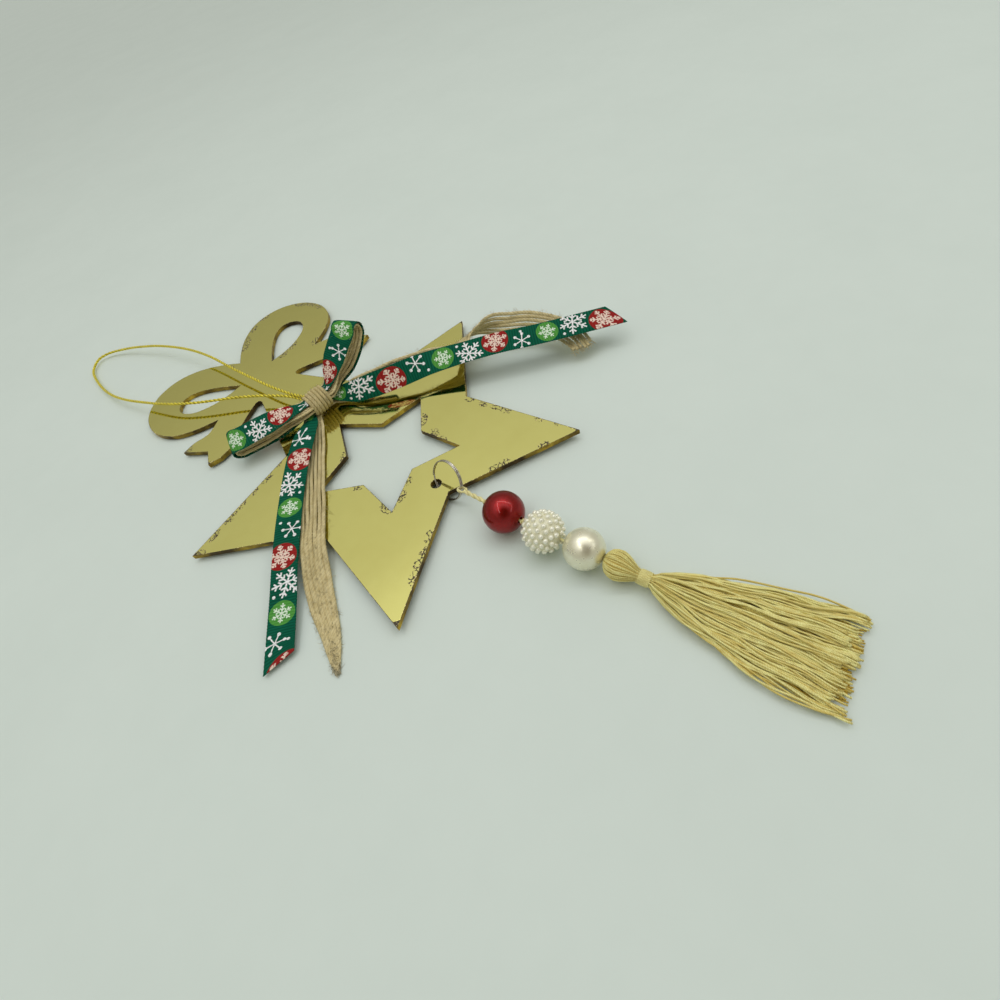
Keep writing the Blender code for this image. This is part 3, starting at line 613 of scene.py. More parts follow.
class Bundle:
    """Collects strips and threads into one mesh, with the length along each for its finish."""

    def __init__(self):
        self.points, self.faces, self.lengths, self.shades, self.slots = [], [], [], [], []
        self.count = 0

    def wrap(self, grid, along, around, shade=0.0, slots=None, caps=True):
        """A skin over rows of points, each row going round once; around has one more value than a row."""
        rows, columns = grid.shape[:2]
        base = self.count
        self.points.append(grid.reshape(-1, 3))
        self.count += rows * columns
        self.shades.append(np.full(rows * columns, shade))
        row, column = (part.ravel() for part in np.indices((rows - 1, columns)))
        after = (column + 1) % columns
        near, far = base + row * columns, base + (row + 1) * columns
        self.faces += np.stack([near + column, near + after, far + after, far + column], axis=1).tolist()
        along, around = np.asarray(along, float), np.asarray(around, float)
        corners = [(along[row], around[column]), (along[row], around[column + 1]),
                   (along[row + 1], around[column + 1]), (along[row + 1], around[column])]
        self.lengths.append(np.stack([np.stack(pair, axis=1) for pair in corners], axis=1).reshape(-1, 2))
        self.slots += np.asarray(slots or [0] * columns)[column].tolist()
        if caps:
            for place, order in ((0, range(columns - 1, -1, -1)), (rows - 1, range(columns))):
                self.faces.append([base + place * columns + c for c in order])
                self.lengths.append(np.array([(along[place], around[c]) for c in order]))
                self.slots.append(0)

    def thread(self, line, radius, sides=6, wide=1.0, high=1.0, up=UP, plies=0, pitch=1.0, depth=0.0,
               shade=0.0, turn=0.0, slot=0, start=0.0):
        """A round or oval thread along a line; plies give it twisted ridges."""
        line = np.asarray(line, float)
        run = run_of(line)
        ahead = heading(line)
        across = unit(np.cross(ahead, np.broadcast_to(up, line.shape)))
        lift = np.cross(across, ahead)
        angle = 2 * pi * np.arange(sides)[None, :] / sides + turn
        width = np.broadcast_to(radius, len(line))[:, None]
        if plies:
            phase = plies * (angle + 2 * pi * (run[:, None] + start) / pitch)
            width = width * (1.0 - depth * (0.5 + 0.5 * np.cos(phase)))
        grid = (line[:, None, :] + across[:, None, :] * (wide * width * np.cos(angle))[..., None]
                + lift[:, None, :] * (high * width * np.sin(angle))[..., None])
        self.wrap(grid, run + start, np.linspace(0.0, 1.0, sides + 1), shade, [slot] * sides)

    def piece(self, name, *materials, **finish):
        """The piece made of all that was collected."""
        mesh = bpy.data.meshes.new(name)
        mesh.from_pydata(placed(np.concatenate(self.points)).tolist(), [], self.faces)
        layer = mesh.uv_layers.new(name="length")
        layer.data.foreach_set("uv", np.concatenate(self.lengths).astype(np.float32).ravel())
        shade = mesh.attributes.new("shade", "FLOAT", "POINT")
        shade.data.foreach_set("value", np.concatenate(self.shades).astype(np.float32))
        for material in materials:
            mesh.materials.append(material)
        mesh.polygons.foreach_set("material_index", np.array(self.slots, np.int32))
        return smooth_piece(name, mesh, **finish)


def built(name, build, *materials):
    """A mesh from a finished build, with its materials."""
    mesh = bpy.data.meshes.new(name)
    build.to_mesh(mesh)
    build.free()
    for material in materials:
        mesh.materials.append(material)
    return mesh


def add_piece(name, mesh):
    """A piece of the ornament."""
    item = bpy.data.objects.new(name, mesh)
    bpy.context.collection.objects.link(item)
    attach(item, "root")
    return item


def smooth_piece(name, mesh, sharp=None, weld=False):
    """A rounded piece with its faces turned outward, and creases where it bends past an angle."""
    mesh.validate()
    build = bmesh.new()
    build.from_mesh(mesh)
    if weld:
        bmesh.ops.remove_doubles(build, verts=build.verts, dist=1e-6)
    bmesh.ops.recalc_face_normals(build, faces=build.faces)
    build.to_mesh(mesh)
    build.free()
    mesh.shade_smooth()
    if sharp:
        mesh.set_sharp_from_angle(angle=radians(sharp))
    return add_piece(name, mesh)


# The hanging cord: this route in metres is the one that the solid takes from the knot and back to it
CORD_ROUTE = [
    (-0.008654, 0.063735, 0.008952), (-0.010454, 0.073835, 0.007952), (-0.012454, 0.086735, 0.007952),
    (-0.013854, 0.102335, 0.007952), (-0.015054, 0.119635, 0.007952), (-0.016154, 0.139835, 0.007952),
    (-0.018654, 0.159335, 0.006952), (-0.022954, 0.176835, 0.005952), (-0.028754, 0.192735, 0.004952),
    (-0.038754, 0.212535, 0.002952), (-0.049154, 0.222135, 0.001952), (-0.056754, 0.216635, 0.001452),
    (-0.059954, 0.205335, 0.001452), (-0.060954, 0.184935, 0.001952), (-0.058354, 0.164835, 0.003952),
    (-0.051454, 0.142035, 0.005952), (-0.046054, 0.128535, 0.006952), (-0.040054, 0.118535, 0.006952),
    (-0.033754, 0.109735, 0.006952), (-0.027254, 0.101535, 0.006952), (-0.021254, 0.092735, 0.006952),
    (-0.015954, 0.083535, 0.006952), (-0.011254, 0.073635, 0.006952), (-0.009154, 0.064135, 0.007152),
]
CORD_DIAMETER = 1.1


def hanging_cord(gold):
    """The thin gold cord: a long loop with both its ends in the knot."""
    line, run = even(np.array(spline(CORD_ROUTE, 12)) / MM - FOOTPRINT_SHIFT, CORD_PITCH / 16)
    rope = Bundle()
    rope.thread(line, CORD_DIAMETER * 0.62, sides=12, plies=2, pitch=CORD_PITCH, depth=0.34)
    cord = rope.piece("twisted_hanging_cord", gold)
    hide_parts("hanging_cord")
    run[-1] * MM


# The mirror sheet

def polar(radius, degrees, shift=0.0):
    """A place at an angle from the star's centre, moved up."""
    angle = radians(degrees)
    return Vector((radius * cos(angle), radius * sin(angle) + shift))


def bow_points(*shares):
    """Points of the bow, given as shares of its height across from its axis and up from its foot."""
    return [Vector((across * BOW_HEIGHT, BOW_FOOT + up * BOW_HEIGHT)) for across, up in shares]


def sheet_outlines():
    """The sheet's outer edge and its holes."""
    notch = spline(bow_points((0.172, 0.0), (0.182, 0.028), (0.212, 0.031)), 8)
    tail_inner = spline(bow_points((0.212, 0.031), (0.298, -0.013), (0.414, -0.083), (0.571, -0.205)), 8)
    tail_end = bow_points((0.679, -0.219), (0.768, -0.192), (0.702, -0.066))
    tail_upper = spline(bow_points((0.818, 0.111), (0.72, 0.123), (0.604, 0.104), (0.48, 0.169)), 8)
    loop = spline(bow_points((0.48, 0.169), (0.662, 0.263), (0.788, 0.382), (0.848, 0.545), (0.841, 0.689),
                             (0.785, 0.828), (0.654, 0.955), (0.497, 1.0), (0.348, 0.975), (0.202, 0.881),
                             (0.076, 0.74), (0.0, 0.627)), 12)
    corners = [polar(TIP_RADIUS if number % 2 else DIP_RADIUS, 270 + 36 * number) for number in range(5)]
    half = [*corners, *notch, *tail_inner[1:], *tail_end, *tail_upper, *loop[1:]]
    inner = [p for p in half if abs(p.x) > 1e-6]
    outer = [half[0], *inner, half[-1], *[Vector((-p.x, p.y)) for p in reversed(inner)]]
    star = [polar(OPENING_RADII[corner % 2], 90 + 36 * corner, OPENING_Y) for corner in range(10)]
    tear = spline(bow_points((0.159, 0.356), (0.238, 0.477), (0.325, 0.586), (0.401, 0.656), (0.477, 0.69),
                             (0.546, 0.675), (0.599, 0.608), (0.596, 0.523), (0.526, 0.435), (0.384, 0.369),
                             (0.265, 0.353), (0.159, 0.356)), 10)[:-1]
    mirror = [Vector((-p.x, p.y)) for p in tear]
    ring = [polar(RING_HOLE_RADIUS, 360 * step / 48, RING_HOLE_Y) for step in range(48)]
    return [outer, star, tear, mirror, ring]


# Where the mirror has flaked most, beside the sheet's edges
FLAKED = [
    (47.3, 120.6, 5), (49.9, 114.6, 4), (42.4, 100.7, 4), (20.3, 130.0, 3), (12.8, 123.3, 4.5),
    (29.4, 133.9, 3), (22.2, 94.5, 3), (15.5, 93.1, 2.5), (30.6, 85.5, 3), (-6.4, 111.3, 4),
    (37.9, -15.1, 1.9), (38.6, -22.2, 2.1), (39.7, -27.6, 1.9), (40.0, -32.6, 2.2), (43.2, -46.9, 1.8),
    (45.2, -54.6, 1.6), (46.3, -60.6, 1.6), (20.4, -5.8, 3), (18.3, -14.9, 2.5), (16.1, -20.5, 2),
    (33.6, -56.4, 2), (20.3, -49.2, 2), (16.3, -47.9, 2), (-17.2, -48.0, 2.4), (-22.4, -51.3, 2.4),
    (-26.9, -52.5, 2.2), (-31.3, -54.9, 2.2), (-35.4, 30.2, 3), (-43.2, 29.7, 2.5), (-55.6, 26.6, 3),
    (-64.3, 25.2, 3), (-47.8, 80.3, 2.5), (-45.4, 60.8, 2), (-17.5, -8.2, 2), (-17.1, -25.6, 3),
    (-10.9, -26.5, 2.5), (-4.9, -23.4, 2), (-10.3, 8.9, 2.5), (-72.2, 21.5, 2.5), (-49.7, 28.5, 2.5),
    (-28.6, 32.7, 2), (9.8, 120.5, 4), (50.3, 109.4, 3),
]

EDGE_STEP = 1.3
FIELD_STEP = (1.6, 1.4)
FIELD_MARGIN = 0.75
LIP_BEVEL = 0.1
LEAST_FLAKING = 0.12


class Rim:
    """The sheet's edges as short straight runs, for how far places lie from them and which are inside."""

    def __init__(self, outlines):
        self.points, self.pairs = [], []
        for outline in outlines:
            first = len(self.points)
            for a, b in zip(outline, outline[1:] + outline[:1]):
                parts = max(1, round((b - a).length / EDGE_STEP))
                self.points += [a.lerp(b, step / parts) for step in range(parts)]
            count = len(self.points) - first
            self.pairs += [(first + n, first + (n + 1) % count) for n in range(count)]
        self.starts, self.ends = (np.array([self.points[pair[end]] for pair in self.pairs]) for end in (0, 1))

    def distance(self, places):
        """How far each place lies from the nearest edge."""
        places = np.asarray(places, float)[:, None, :]
        step = self.ends - self.starts
        share = ((places - self.starts) * step).sum(2) / np.maximum((step**2).sum(1), 1e-12)
        nearest = self.starts + np.clip(share, 0, 1)[..., None] * step
        return np.linalg.norm(places - nearest, axis=2).min(1)

    def holds(self, places):
        """Whether each place lies on the sheet, and not outside it or in a hole."""
        x, y = np.asarray(places, float).T[:, :, None]
        (start_x, start_y), (end_x, end_y) = self.starts.T, self.ends.T
        crosses = (start_y > y) != (end_y > y)
        rise = np.where(end_y == start_y, 1.0, end_y - start_y)
        meet = start_x + (y - start_y) * (end_x - start_x) / rise
        return (crosses & (x < meet)).sum(1) % 2 == 1

    def field(self):
        """Places spread evenly over the sheet, away from its edges."""
        (left, bottom), (right, top) = self.starts.min(0), self.starts.max(0)
        step_x, step_y = FIELD_STEP
        places = np.array([(x + row % 2 * step_x / 2, y)
                           for row, y in enumerate(np.arange(bottom, top, step_y))
                           for x in np.arange(left, right, step_x)])
        places = places[self.holds(places)]
        return places[self.distance(places) > FIELD_MARGIN]


def mirror_sheet():
    """The cut sheet with a finely divided face, so that the flaking can follow its edges."""
    rim = Rim(sheet_outlines())
    points = rim.points + [Vector(p) for p in rim.field()]
    flat, _, faces, _, _, _ = delaunay_2d_cdt(points, rim.pairs, [], 0, 1e-5)
    flat = np.array(flat)
    middles = np.array([flat[list(face)].mean(0) for face in faces])
    kept = [face for face, held in zip(faces, rim.holds(middles)) if held]
    distance = rim.distance(flat)
    flaking = np.full(len(flat), LEAST_FLAKING)
    for x, y, radius in FLAKED:
        flaking = np.maximum(flaking, np.exp(-((flat - (x, y)) ** 2).sum(1) / (1.1 * radius) ** 2))

    face_slot, wall_slot, back_slot = 0, 1, 2
    build = bmesh.new()
    edge_layer = build.verts.layers.float.new("edge_distance")
    flake_layer = build.verts.layers.float.new("flaking")
    sides = []
    for height, order, slot in ((SHEET_THICKNESS, 1, face_slot), (0.0, -1, back_slot)):
        verts = []
        for (x, y), far, flake in zip(flat, distance, flaking):
            vert = build.verts.new((x, y, height))
            vert[edge_layer], vert[flake_layer] = far, flake
            verts.append(vert)
        for face in kept:
            build.faces.new([verts[corner] for corner in face[::order]]).material_index = slot
        sides.append(verts)
    top, bottom = sides
    used = Counter(frozenset(pair) for face in kept for pair in zip(face, face[1:] + face[:1]))
    for a, b in (pair for pair, count in used.items() if count == 1):
        build.faces.new((top[a], top[b], bottom[b], bottom[a])).material_index = wall_slot
    bmesh.ops.delete(build, geom=[vert for vert in build.verts if not vert.link_faces], context="VERTS")
    bmesh.ops.recalc_face_normals(build, faces=build.faces)
    lips = [edge for edge in build.edges if len({face.material_index for face in edge.link_faces}) > 1]
    bmesh.ops.bevel(build, geom=lips, offset=LIP_BEVEL, segments=2, profile=0.5, affect="EDGES",
                    clamp_overlap=True)
    for face in build.faces:
        face.smooth = False
        if abs(face.normal.z) < 0.9:
            face.material_index = wall_slot
    hinge = Matrix.Translation(Vector((0, BOW_TOP, 0)))
    build.transform(hinge @ Matrix.Rotation(-SHEET_TILT, 4, "X") @ hinge.inverted())
    build.transform(TO_ROW_FRAME)
    mesh = built("cut_mirror_sheet", build, gold_mirror(), cut_edge(), sheet_back())
    sheet = add_piece("cut_mirror_sheet", mesh)
    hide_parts("star_plate")


# The ribbons. Each row: centre from the knot's centre, direction across, width as a share of the ribbon's
GREEN_TAIL_RIGHT = [
    ((2.0, 0.0, -2.2), (0.0, 1.0, 0.0), 0.44),
    ((6.2, -0.4, -2.1), (0.0, 1.0, 0.0), 0.48),
    ((9.0, -4.2, -1.5), (0.08, 0.93, 0.2), 0.68),
    ((12.5, -11.5, 0.1), (0.3, 0.6, 0.7), 0.9),
    ((18.5, -18.0, 1.5), (0.39, 0.45, 0.8), 1.0),
    ((26.2, -24.0, 2.3), (0.4, 0.5, 0.77), 1.0),
    ((37.5, -32.0, 3.2), (0.5, 0.7, 0.5), 1.0),
    ((48.8, -42.0, 3.9), (0.56, 0.78, 0.28), 1.0),
    ((59.9, -52.1, 4.3), (0.63, 0.72, 0.28), 1.0),
    ((71.7, -63.3, 3.8), (0.67, 0.7, 0.24), 1.0),
    ((96.8, -82.9, 1.9), (0.66, 0.71, 0.24), 1.0),
]
GREEN_TAIL_LEFT = [
    ((-2.0, 0.0, -2.2), (0.0, -1.0, 0.0), 0.44),
    ((-6.2, -0.8, -2.3), (0.0, -1.0, 0.0), 0.46),
    ((-9.4, -5.2, -2.3), (0.5, -0.8, 0.0), 0.66),
    ((-14.6, -10.0, -1.0), (0.78, -0.6, 0.0), 0.94),
    ((-21.6, -15.6, -1.3), (0.82, -0.56, 0.0), 1.0),
    ((-28.6, -21.8, -1.9), (0.83, -0.54, 0.0), 1.0),
    ((-36.5, -29.8, -2.5), (0.82, -0.56, 0.0), 1.0),
    ((-44.4, -38.8, -2.6), (0.74, -0.67, 0.0), 1.0),
    ((-50.6, -46.4, -2.6), (0.6, -0.8, 0.0), 1.0),
    ((-57.6, -54.2, -3.6), (0.5, -0.86, 0.0), 1.0),
    ((-64.4, -62.1, -4.9), (0.55, -0.83, 0.0), 1.0),
    ((-78.4, -78.6, -6.5), (0.55, -0.83, 0.0), 1.0),
]
JUTE_TAIL_RIGHT = [
    ((3.4, -0.4, -3.9), (0.0, 1.0, 0.0), 0.56),
    ((7.0, -1.4, -3.7), (0.0, 1.0, 0.1), 0.58),
    ((10.0, -5.0, -2.5), (0.05, 0.95, 0.3), 0.72),
    ((14.0, -10.3, -0.2), (0.3, 0.6, 0.7), 0.94),
    ((20.0, -16.6, 1.6), (0.39, 0.45, 0.8), 1.0),
    ((27.9, -22.1, 2.8), (0.4, 0.5, 0.77), 1.0),
    ((39.3, -29.9, 2.8), (0.5, 0.7, 0.5), 1.0),
    ((48.9, -36.0, 2.2), (0.5, 0.78, 0.1), 1.0),
    ((59.3, -33.8, 1.5), (0.4, 0.72, -0.57), 1.0),
    ((65.2, -35.6, 1.6), (0.18, 0.5, -0.85), 1.0),
    ((69.6, -39.4, 1.9), (-0.2, 0.05, -0.98), 1.0),
    ((72.5, -44.8, 2.1), (-0.5, -0.5, -0.7), 1.0),
    ((79.0, -53.0, 1.1), (-0.7, -0.3, -0.62), 1.0),
    ((82.6, -63.0, -0.7), (-0.9, 0.0, -0.4), 1.0),
    ((82.2, -72.5, -2.1), (-0.95, 0.2, -0.2), 1.0),
    ((79.4, -79.5, -3.3), (-0.9, 0.4, -0.1), 0.9),
]
JUTE_TAIL_LEFT = [
    ((-3.4, -0.4, -3.8), (0.0, -1.0, 0.0), 0.6),
    ((-6.0, -2.4, -3.8), (0.3, -0.95, 0.0), 0.7),
    ((-10.0, -7.4, -4.0), (0.8, -0.6, 0.0), 0.94),
    ((-15.8, -15.0, -4.2), (0.8, -0.6, 0.0), 1.0),
    ((-22.0, -23.2, -4.2), (0.8, -0.6, 0.0), 1.0),
    ((-28.3, -31.6, -4.1), (0.8, -0.6, 0.0), 1.0),
    ((-39.8, -47.4, -3.8), (0.82, -0.58, 0.0), 1.0),
    ((-44.6, -53.6, -3.7), (0.8, -0.6, 0.0), 1.0),
    ((-49.0, -59.8, -4.8), (0.82, -0.57, 0.0), 1.0),
    ((-53.2, -66.0, -6.7), (0.84, -0.54, 0.0), 1.0),
    ((-57.6, -74.2, -7.5), (0.88, -0.48, 0.0), 0.92),
    ((-61.0, -82.0, -7.7), (0.86, -0.5, 0.0), 0.74),
    ((-64.6, -89.0, -7.7), (0.8, -0.6, 0.0), 0.48),
    ((-68.2, -95.6, -7.7), (0.7, -0.7, 0.0), 0.16),
]
# A loop: its side, its tip, the direction across it, its bulge and how far its lower wall stands aside
RIGHT_LOOP = (1, Vector((26.8, 1.6, 16.0)), Vector((0.5, -0.85, -0.15)), 0.8, 3.2)
LEFT_LOOP = (-1, Vector((-33.9, 12.1, -0.4)), Vector((-0.4, -0.76, -0.4)), 0.6, 0.0)


def loop_rows(side, tip, across, bulge, aside, root_width, reach, inset=0.0):
    """Rows of a loop: out of the knot along its upper wall, round its end and back into the knot."""
    straight = Vector((0.0, -1.0, 0.0))
    middle = Vector((side * KNOT_HALF.x, 0.0, (ROOT_UPPER + ROOT_LOWER) / 2))
    out = tip - middle
    out = (out - out.project(across)).normalized()
    up = side * across.cross(out).normalized()

    def turned(angle, wall=1):
        """A place on the loop's round end."""
        return tip + (LOOP_TURN - inset) * (out * cos(radians(angle)) + wall * up * sin(radians(angle)))

    walls = []
    for wall, height in ((1, ROOT_UPPER), (-1, ROOT_LOWER)):
        inside = Vector((side * reach, 0.0, height - wall * inset))
        inward = -wall * Vector((up.x, 0.0, up.z + 1.0)).normalized() * inset
        lead = Vector((side * (KNOT_HALF.x + LOOP_LEAD), 0.0, height)) + inward
        shoulder = turned(SHOULDER_ANGLE, wall)
        rows = [(inside, straight, root_width), (lead, straight, root_width)]
        beside = across * aside * (1 - wall) / 2
        for share, width, shift in ((0.28, 0.82, 0.15), (0.52, 1.0, 0.55), (0.78, 1.0, 0.7)):
            bowed = lead.lerp(shoulder, share) + wall * up * bulge * sin(pi * share) + beside * shift
            rows.append((bowed, straight.lerp(across, share**0.5), width))
        rows.append((shoulder + beside * TURN_ASIDE, across, 1.0))
        walls.append(rows)
    end = []
    for angle in (75, 37, 0, -37, -75):
        gone = (SHOULDER_ANGLE - angle) / (2 * SHOULDER_ANGLE)
        end.append((turned(angle) + across * aside * TURN_ASIDE * gone, across, 1.0))
    return [*walls[0], *end, *reversed(walls[1])]


def strip_lines(rows, spacing):
    """Even centres along a strip with its directions along, across and out of its face."""
    steps = 14
    centres = [KNOT + point for point in spline([row[0] for row in rows], steps)]
    acrosses = between([Vector(row[1]).normalized() for row in rows], steps)
    line, run, across, width = even(centres, spacing, acrosses, between([row[2] for row in rows], steps))
    ahead = heading(line)
    across = unit(across - (across * ahead).sum(1, keepdims=True) * ahead)
    return line, run, ahead, across, np.cross(ahead, across), width


def print_run(run, first, step, spots):
    """Millimetres along the print, from the places along a stretch where its motifs' middles lie."""
    cells = first + step * np.arange(len(spots)) + 0.5
    past = np.minimum(run - spots[0], 0.0) + np.maximum(run - spots[-1], 0.0)
    return np.interp(run, spots, cells) * PRINT_CELL + past * step


def green_strip(bundle, rows, first, step, spots, front=1, slant=0.0):
    """One stretch of the printed ribbon, with its cross ribs and thin edges."""
    line, run, ahead, across, facing, width = strip_lines(rows, RIB_PITCH / 4)
    columns = 12
    side = np.linspace(-1.0, 1.0, columns + 1)[None, :]
    ribs = 0.5 + 0.5 * np.cos(2 * pi * run / RIB_PITCH)
    half = width * RIBBON_WIDTH / 2 - 0.06 + 0.07 * ribs
    fold = (1.0 - width)[:, None] * 0.55 * np.cos(1.5 * pi * side)
    curl = 0.12 * (1.0 - side**2)
    skew = slant * np.clip((run - run[-1] + 9.0) / 9.0, 0.0, 1.0)
    middle = line[:, None, :] + across[:, None, :] * (half[:, None] * side)[..., None]
    middle = middle + ahead[:, None, :] * (skew[:, None] * side)[..., None]
    lift = (fold + curl) * np.minimum(1.0, 6 * (1.02 - np.abs(side)))
    thick = (0.17 + 0.06 * ribs)[:, None] * np.minimum(1.0, 0.55 + 5 * (1.0 - np.abs(side)))
    outward = facing[:, None, :] * front
    top = middle + outward * (lift + thick)[..., None]
    bottom = middle + outward * (lift - thick)[..., None]
    across_mm = np.concatenate([side[0], side[0][::-1], side[0][:1]]) * RIBBON_WIDTH / 2
    bundle.wrap(np.concatenate([top, bottom[:, ::-1]], axis=1), print_run(run, first, step, spots),
                front * across_mm, slots=[0] * columns + [1] * (columns + 2))


def green_ribbon():
    """The printed ribbon: two tails, two loops and the plain middle of the knot."""
    bundle = Bundle()
    right_spots = (7.0, 19.5, 34.5, 45.4, 57.0, 67.8, 79.2, 89.6, 100.0, 110.8, 123.0)
    left_spots = (0.0, 20.5, 29.6, 42.4, 53.3, 63.3, 74.2, 84.0, 94.9, 104.4, 113.4)
    green_strip(bundle, GREEN_TAIL_RIGHT, -2, 1, right_spots, slant=-3.0)
    green_strip(bundle, GREEN_TAIL_LEFT, 6, -1, left_spots, slant=-3.0)
    green_strip(bundle, loop_rows(*RIGHT_LOOP, 0.44, GREEN_REACH), 4, 1, (10.7, 20.1, 28.6), front=-1)
    green_strip(bundle, loop_rows(*LEFT_LOOP, 0.44, GREEN_REACH), 1, -1, (3.0, 14.1, 24.5, 34.5))
    line = [KNOT + Vector((x, 0.0, 0.0)) for x in np.linspace(-3.0, 3.0, 9)]
    bundle.thread(line, 1.0, sides=28, wide=4.3, high=3.3, plies=7, pitch=60.0, depth=0.12, slot=1)
    ribbon = bundle.piece("printed_green_ribbon", grosgrain(True), grosgrain(False), sharp=50)
    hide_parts("green_ribbon")


CORD_PLACES = [(2 * cord + 1) / JUTE_CORDS - 1 for cord in range(JUTE_CORDS)]
FIBRES_PER_MM = 11
FRINGE_FIBRES = 70


def hair(bundle, base, lean, length, draw, radius=0.055):
    """One loose fibre."""
    lean = unit(lean)
    side = unit(np.cross(lean, (0.3, 0.2, 0.9)))
    bow = draw.uniform(-0.35, 0.35) * length
    line = np.array([base + lean * length * t + side * bow * t * (1 - t) * 2 for t in (0.0, 0.33, 0.66, 1.0)])
    line[:, 2] = np.maximum(line[:, 2], radius)
    bundle.thread(line, np.array((1.0, 0.9, 0.7, 0.3)) * radius, sides=3, up=side, shade=draw.random())


def jute_strip(bundle, hairs, rows, draw, frayed=True, worn=2.0):
    """One stretch of the jute ribbon: cords side by side, with loose fibres, worn flat past a share of it."""
    line, run, ahead, across, facing, width = strip_lines(rows, 0.6)
    half = width * RIBBON_WIDTH / 2
    flat = np.clip((run / run[-1] - worn) / 0.15, 0.0, 1.0)
    radius = (0.82 + 0.28 * flat) * np.sqrt(np.clip(width, 0.1, 1.0))
    for cord, place in enumerate(CORD_PLACES):
        wander = 0.1 * np.sin(run / 5.0 + 2.1 * cord) + 0.06 * np.sin(run / 2.3 + cord)
        wave = 0.072 * np.sin(run / 3.7 + 1.7 * cord) * (1.0 - flat)
        beside = (place * (RIBBON_WIDTH / 2 - 0.25) + wander) * width
        centre = line + across * beside[:, None] + facing * wave[:, None]
        last = len(line) - (draw.randrange(0, 4) if frayed else 0)
        bundle.thread(centre[:last], radius[:last], sides=8, high=0.58, up=facing[:last], plies=3,
                      pitch=JUTE_PITCH, depth=0.22, shade=draw.random(), turn=draw.random() * 0.8,
                      start=draw.random() * 40)
    for _ in range(int(run[-1] * FIBRES_PER_MM)):
        spot = draw.randrange(1, len(line) - 1)
        side = draw.uniform(-1, 1) * half[spot]
        face = draw.choice((-1, 1))
        base = line[spot] + across[spot] * side + facing[spot] * face * 0.5
        lean = ahead[spot] * draw.uniform(-1, 1) + across[spot] * draw.uniform(-0.5, 0.5)
        lean = lean + facing[spot] * face * draw.uniform(0.05, 0.4)
        if abs(side) > 0.8 * half[spot]:
            lean = lean + across[spot] * np.sign(side) * draw.uniform(0.1, 0.6)
        hair(hairs, base, lean, draw.uniform(0.8, 2.4), draw)
    for _ in range(FRINGE_FIBRES if frayed else 0):
        spot = len(line) - 1 - draw.randrange(0, 5)
        side = draw.uniform(-1, 1) * half[spot]
        lean = ahead[spot] + across[spot] * draw.uniform(-0.35, 0.35)
        lean = lean + facing[spot] * draw.uniform(-0.2, 0.2)
        base = line[spot] + across[spot] * side + facing[spot] * draw.uniform(-0.3, 0.3)
        hair(hairs, base, lean, draw.uniform(0.8, 2.4), draw, 0.1)


def knot_wrap(bundle, hairs, draw):
    """The jute wound across the knot, in slanting turns."""
    angle = np.linspace(0.0, 2 * pi, 65)
    round_y, round_z = np.cos(angle), np.sin(angle)
    outward = unit(np.stack([0 * angle, round_y / KNOT_HALF.y, round_z / KNOT_HALF.z], axis=1))
    for place in CORD_PLACES:
        barrel = 1.0 - 0.16 * place**2
        x = place * KNOT_HALF.x * 0.93 + 0.7 * round_y * (1.0 - 0.5 * abs(place))
        line = np.array(KNOT) + np.stack([x, (KNOT_HALF.y - 0.75) * barrel * round_y,
                                          (KNOT_HALF.z - 0.75) * barrel * round_z], axis=1)
        bundle.thread(line, 0.84, sides=8, wide=0.98, high=0.9, up=outward, plies=3, pitch=JUTE_PITCH,
                      depth=0.2, shade=0.8 + 0.7 * draw.random(), start=draw.random() * 40)
        for _ in range(36):
            spot = draw.randrange(len(line) - 1)
            lean = unit(line[spot + 1] - line[spot]) * draw.choice((-1, 1))
            lean = lean + outward[spot] * draw.uniform(0.1, 0.7)
            hair(hairs, line[spot] + outward[spot] * 0.6, lean, draw.uniform(0.8, 2.0), draw)


def jute_ribbon():
    """The jute ribbon: the knot's wrapping, two tails and the inner layer of each loop."""
    draw = random.Random(5)
    cords, hairs = Bundle(), Bundle()
    knot_wrap(cords, hairs, draw)
    jute_strip(cords, hairs, JUTE_TAIL_RIGHT, draw)
    jute_strip(cords, hairs, JUTE_TAIL_LEFT, draw, worn=0.5)
    for loop in (RIGHT_LOOP, LEFT_LOOP):
        jute_strip(cords, hairs, loop_rows(*loop, 1.0, JUTE_REACH, JUTE_INSET), draw, frayed=False)
    ribbon = cords.piece("corded_jute_ribbon", jute_yarn("jute_yarn", (0.9, 0.79, 0.47), (0.62, 0.51, 0.25)))
    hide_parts("jute_ribbon")
    fibres = hairs.piece("jute_fibres", jute_yarn("jute_fibre", (0.95, 0.86, 0.56), (0.8, 0.7, 0.42)))


# Ring, string and beads

def split_ring():
    """One wire wound nearly twice round, so that its turns lie side by side."""
    share = np.linspace(0.0, 1.0, 260)
    beside = RING_WIRE / 2 * np.clip((share - 0.5) * 7, -1.0, 1.0)
    line = wound(RING_CENTRE, RING_AXIS, RING_RADIUS, 0.6 + 2 * pi * 1.93 * share, beside)
    wire = Bundle()
    wire.thread(line, RING_WIRE / 2, sides=10, up=np.array(RING_AXIS))
    ring = wire.piece("wound_split_ring", steel_wire())
    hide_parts("split_ring")


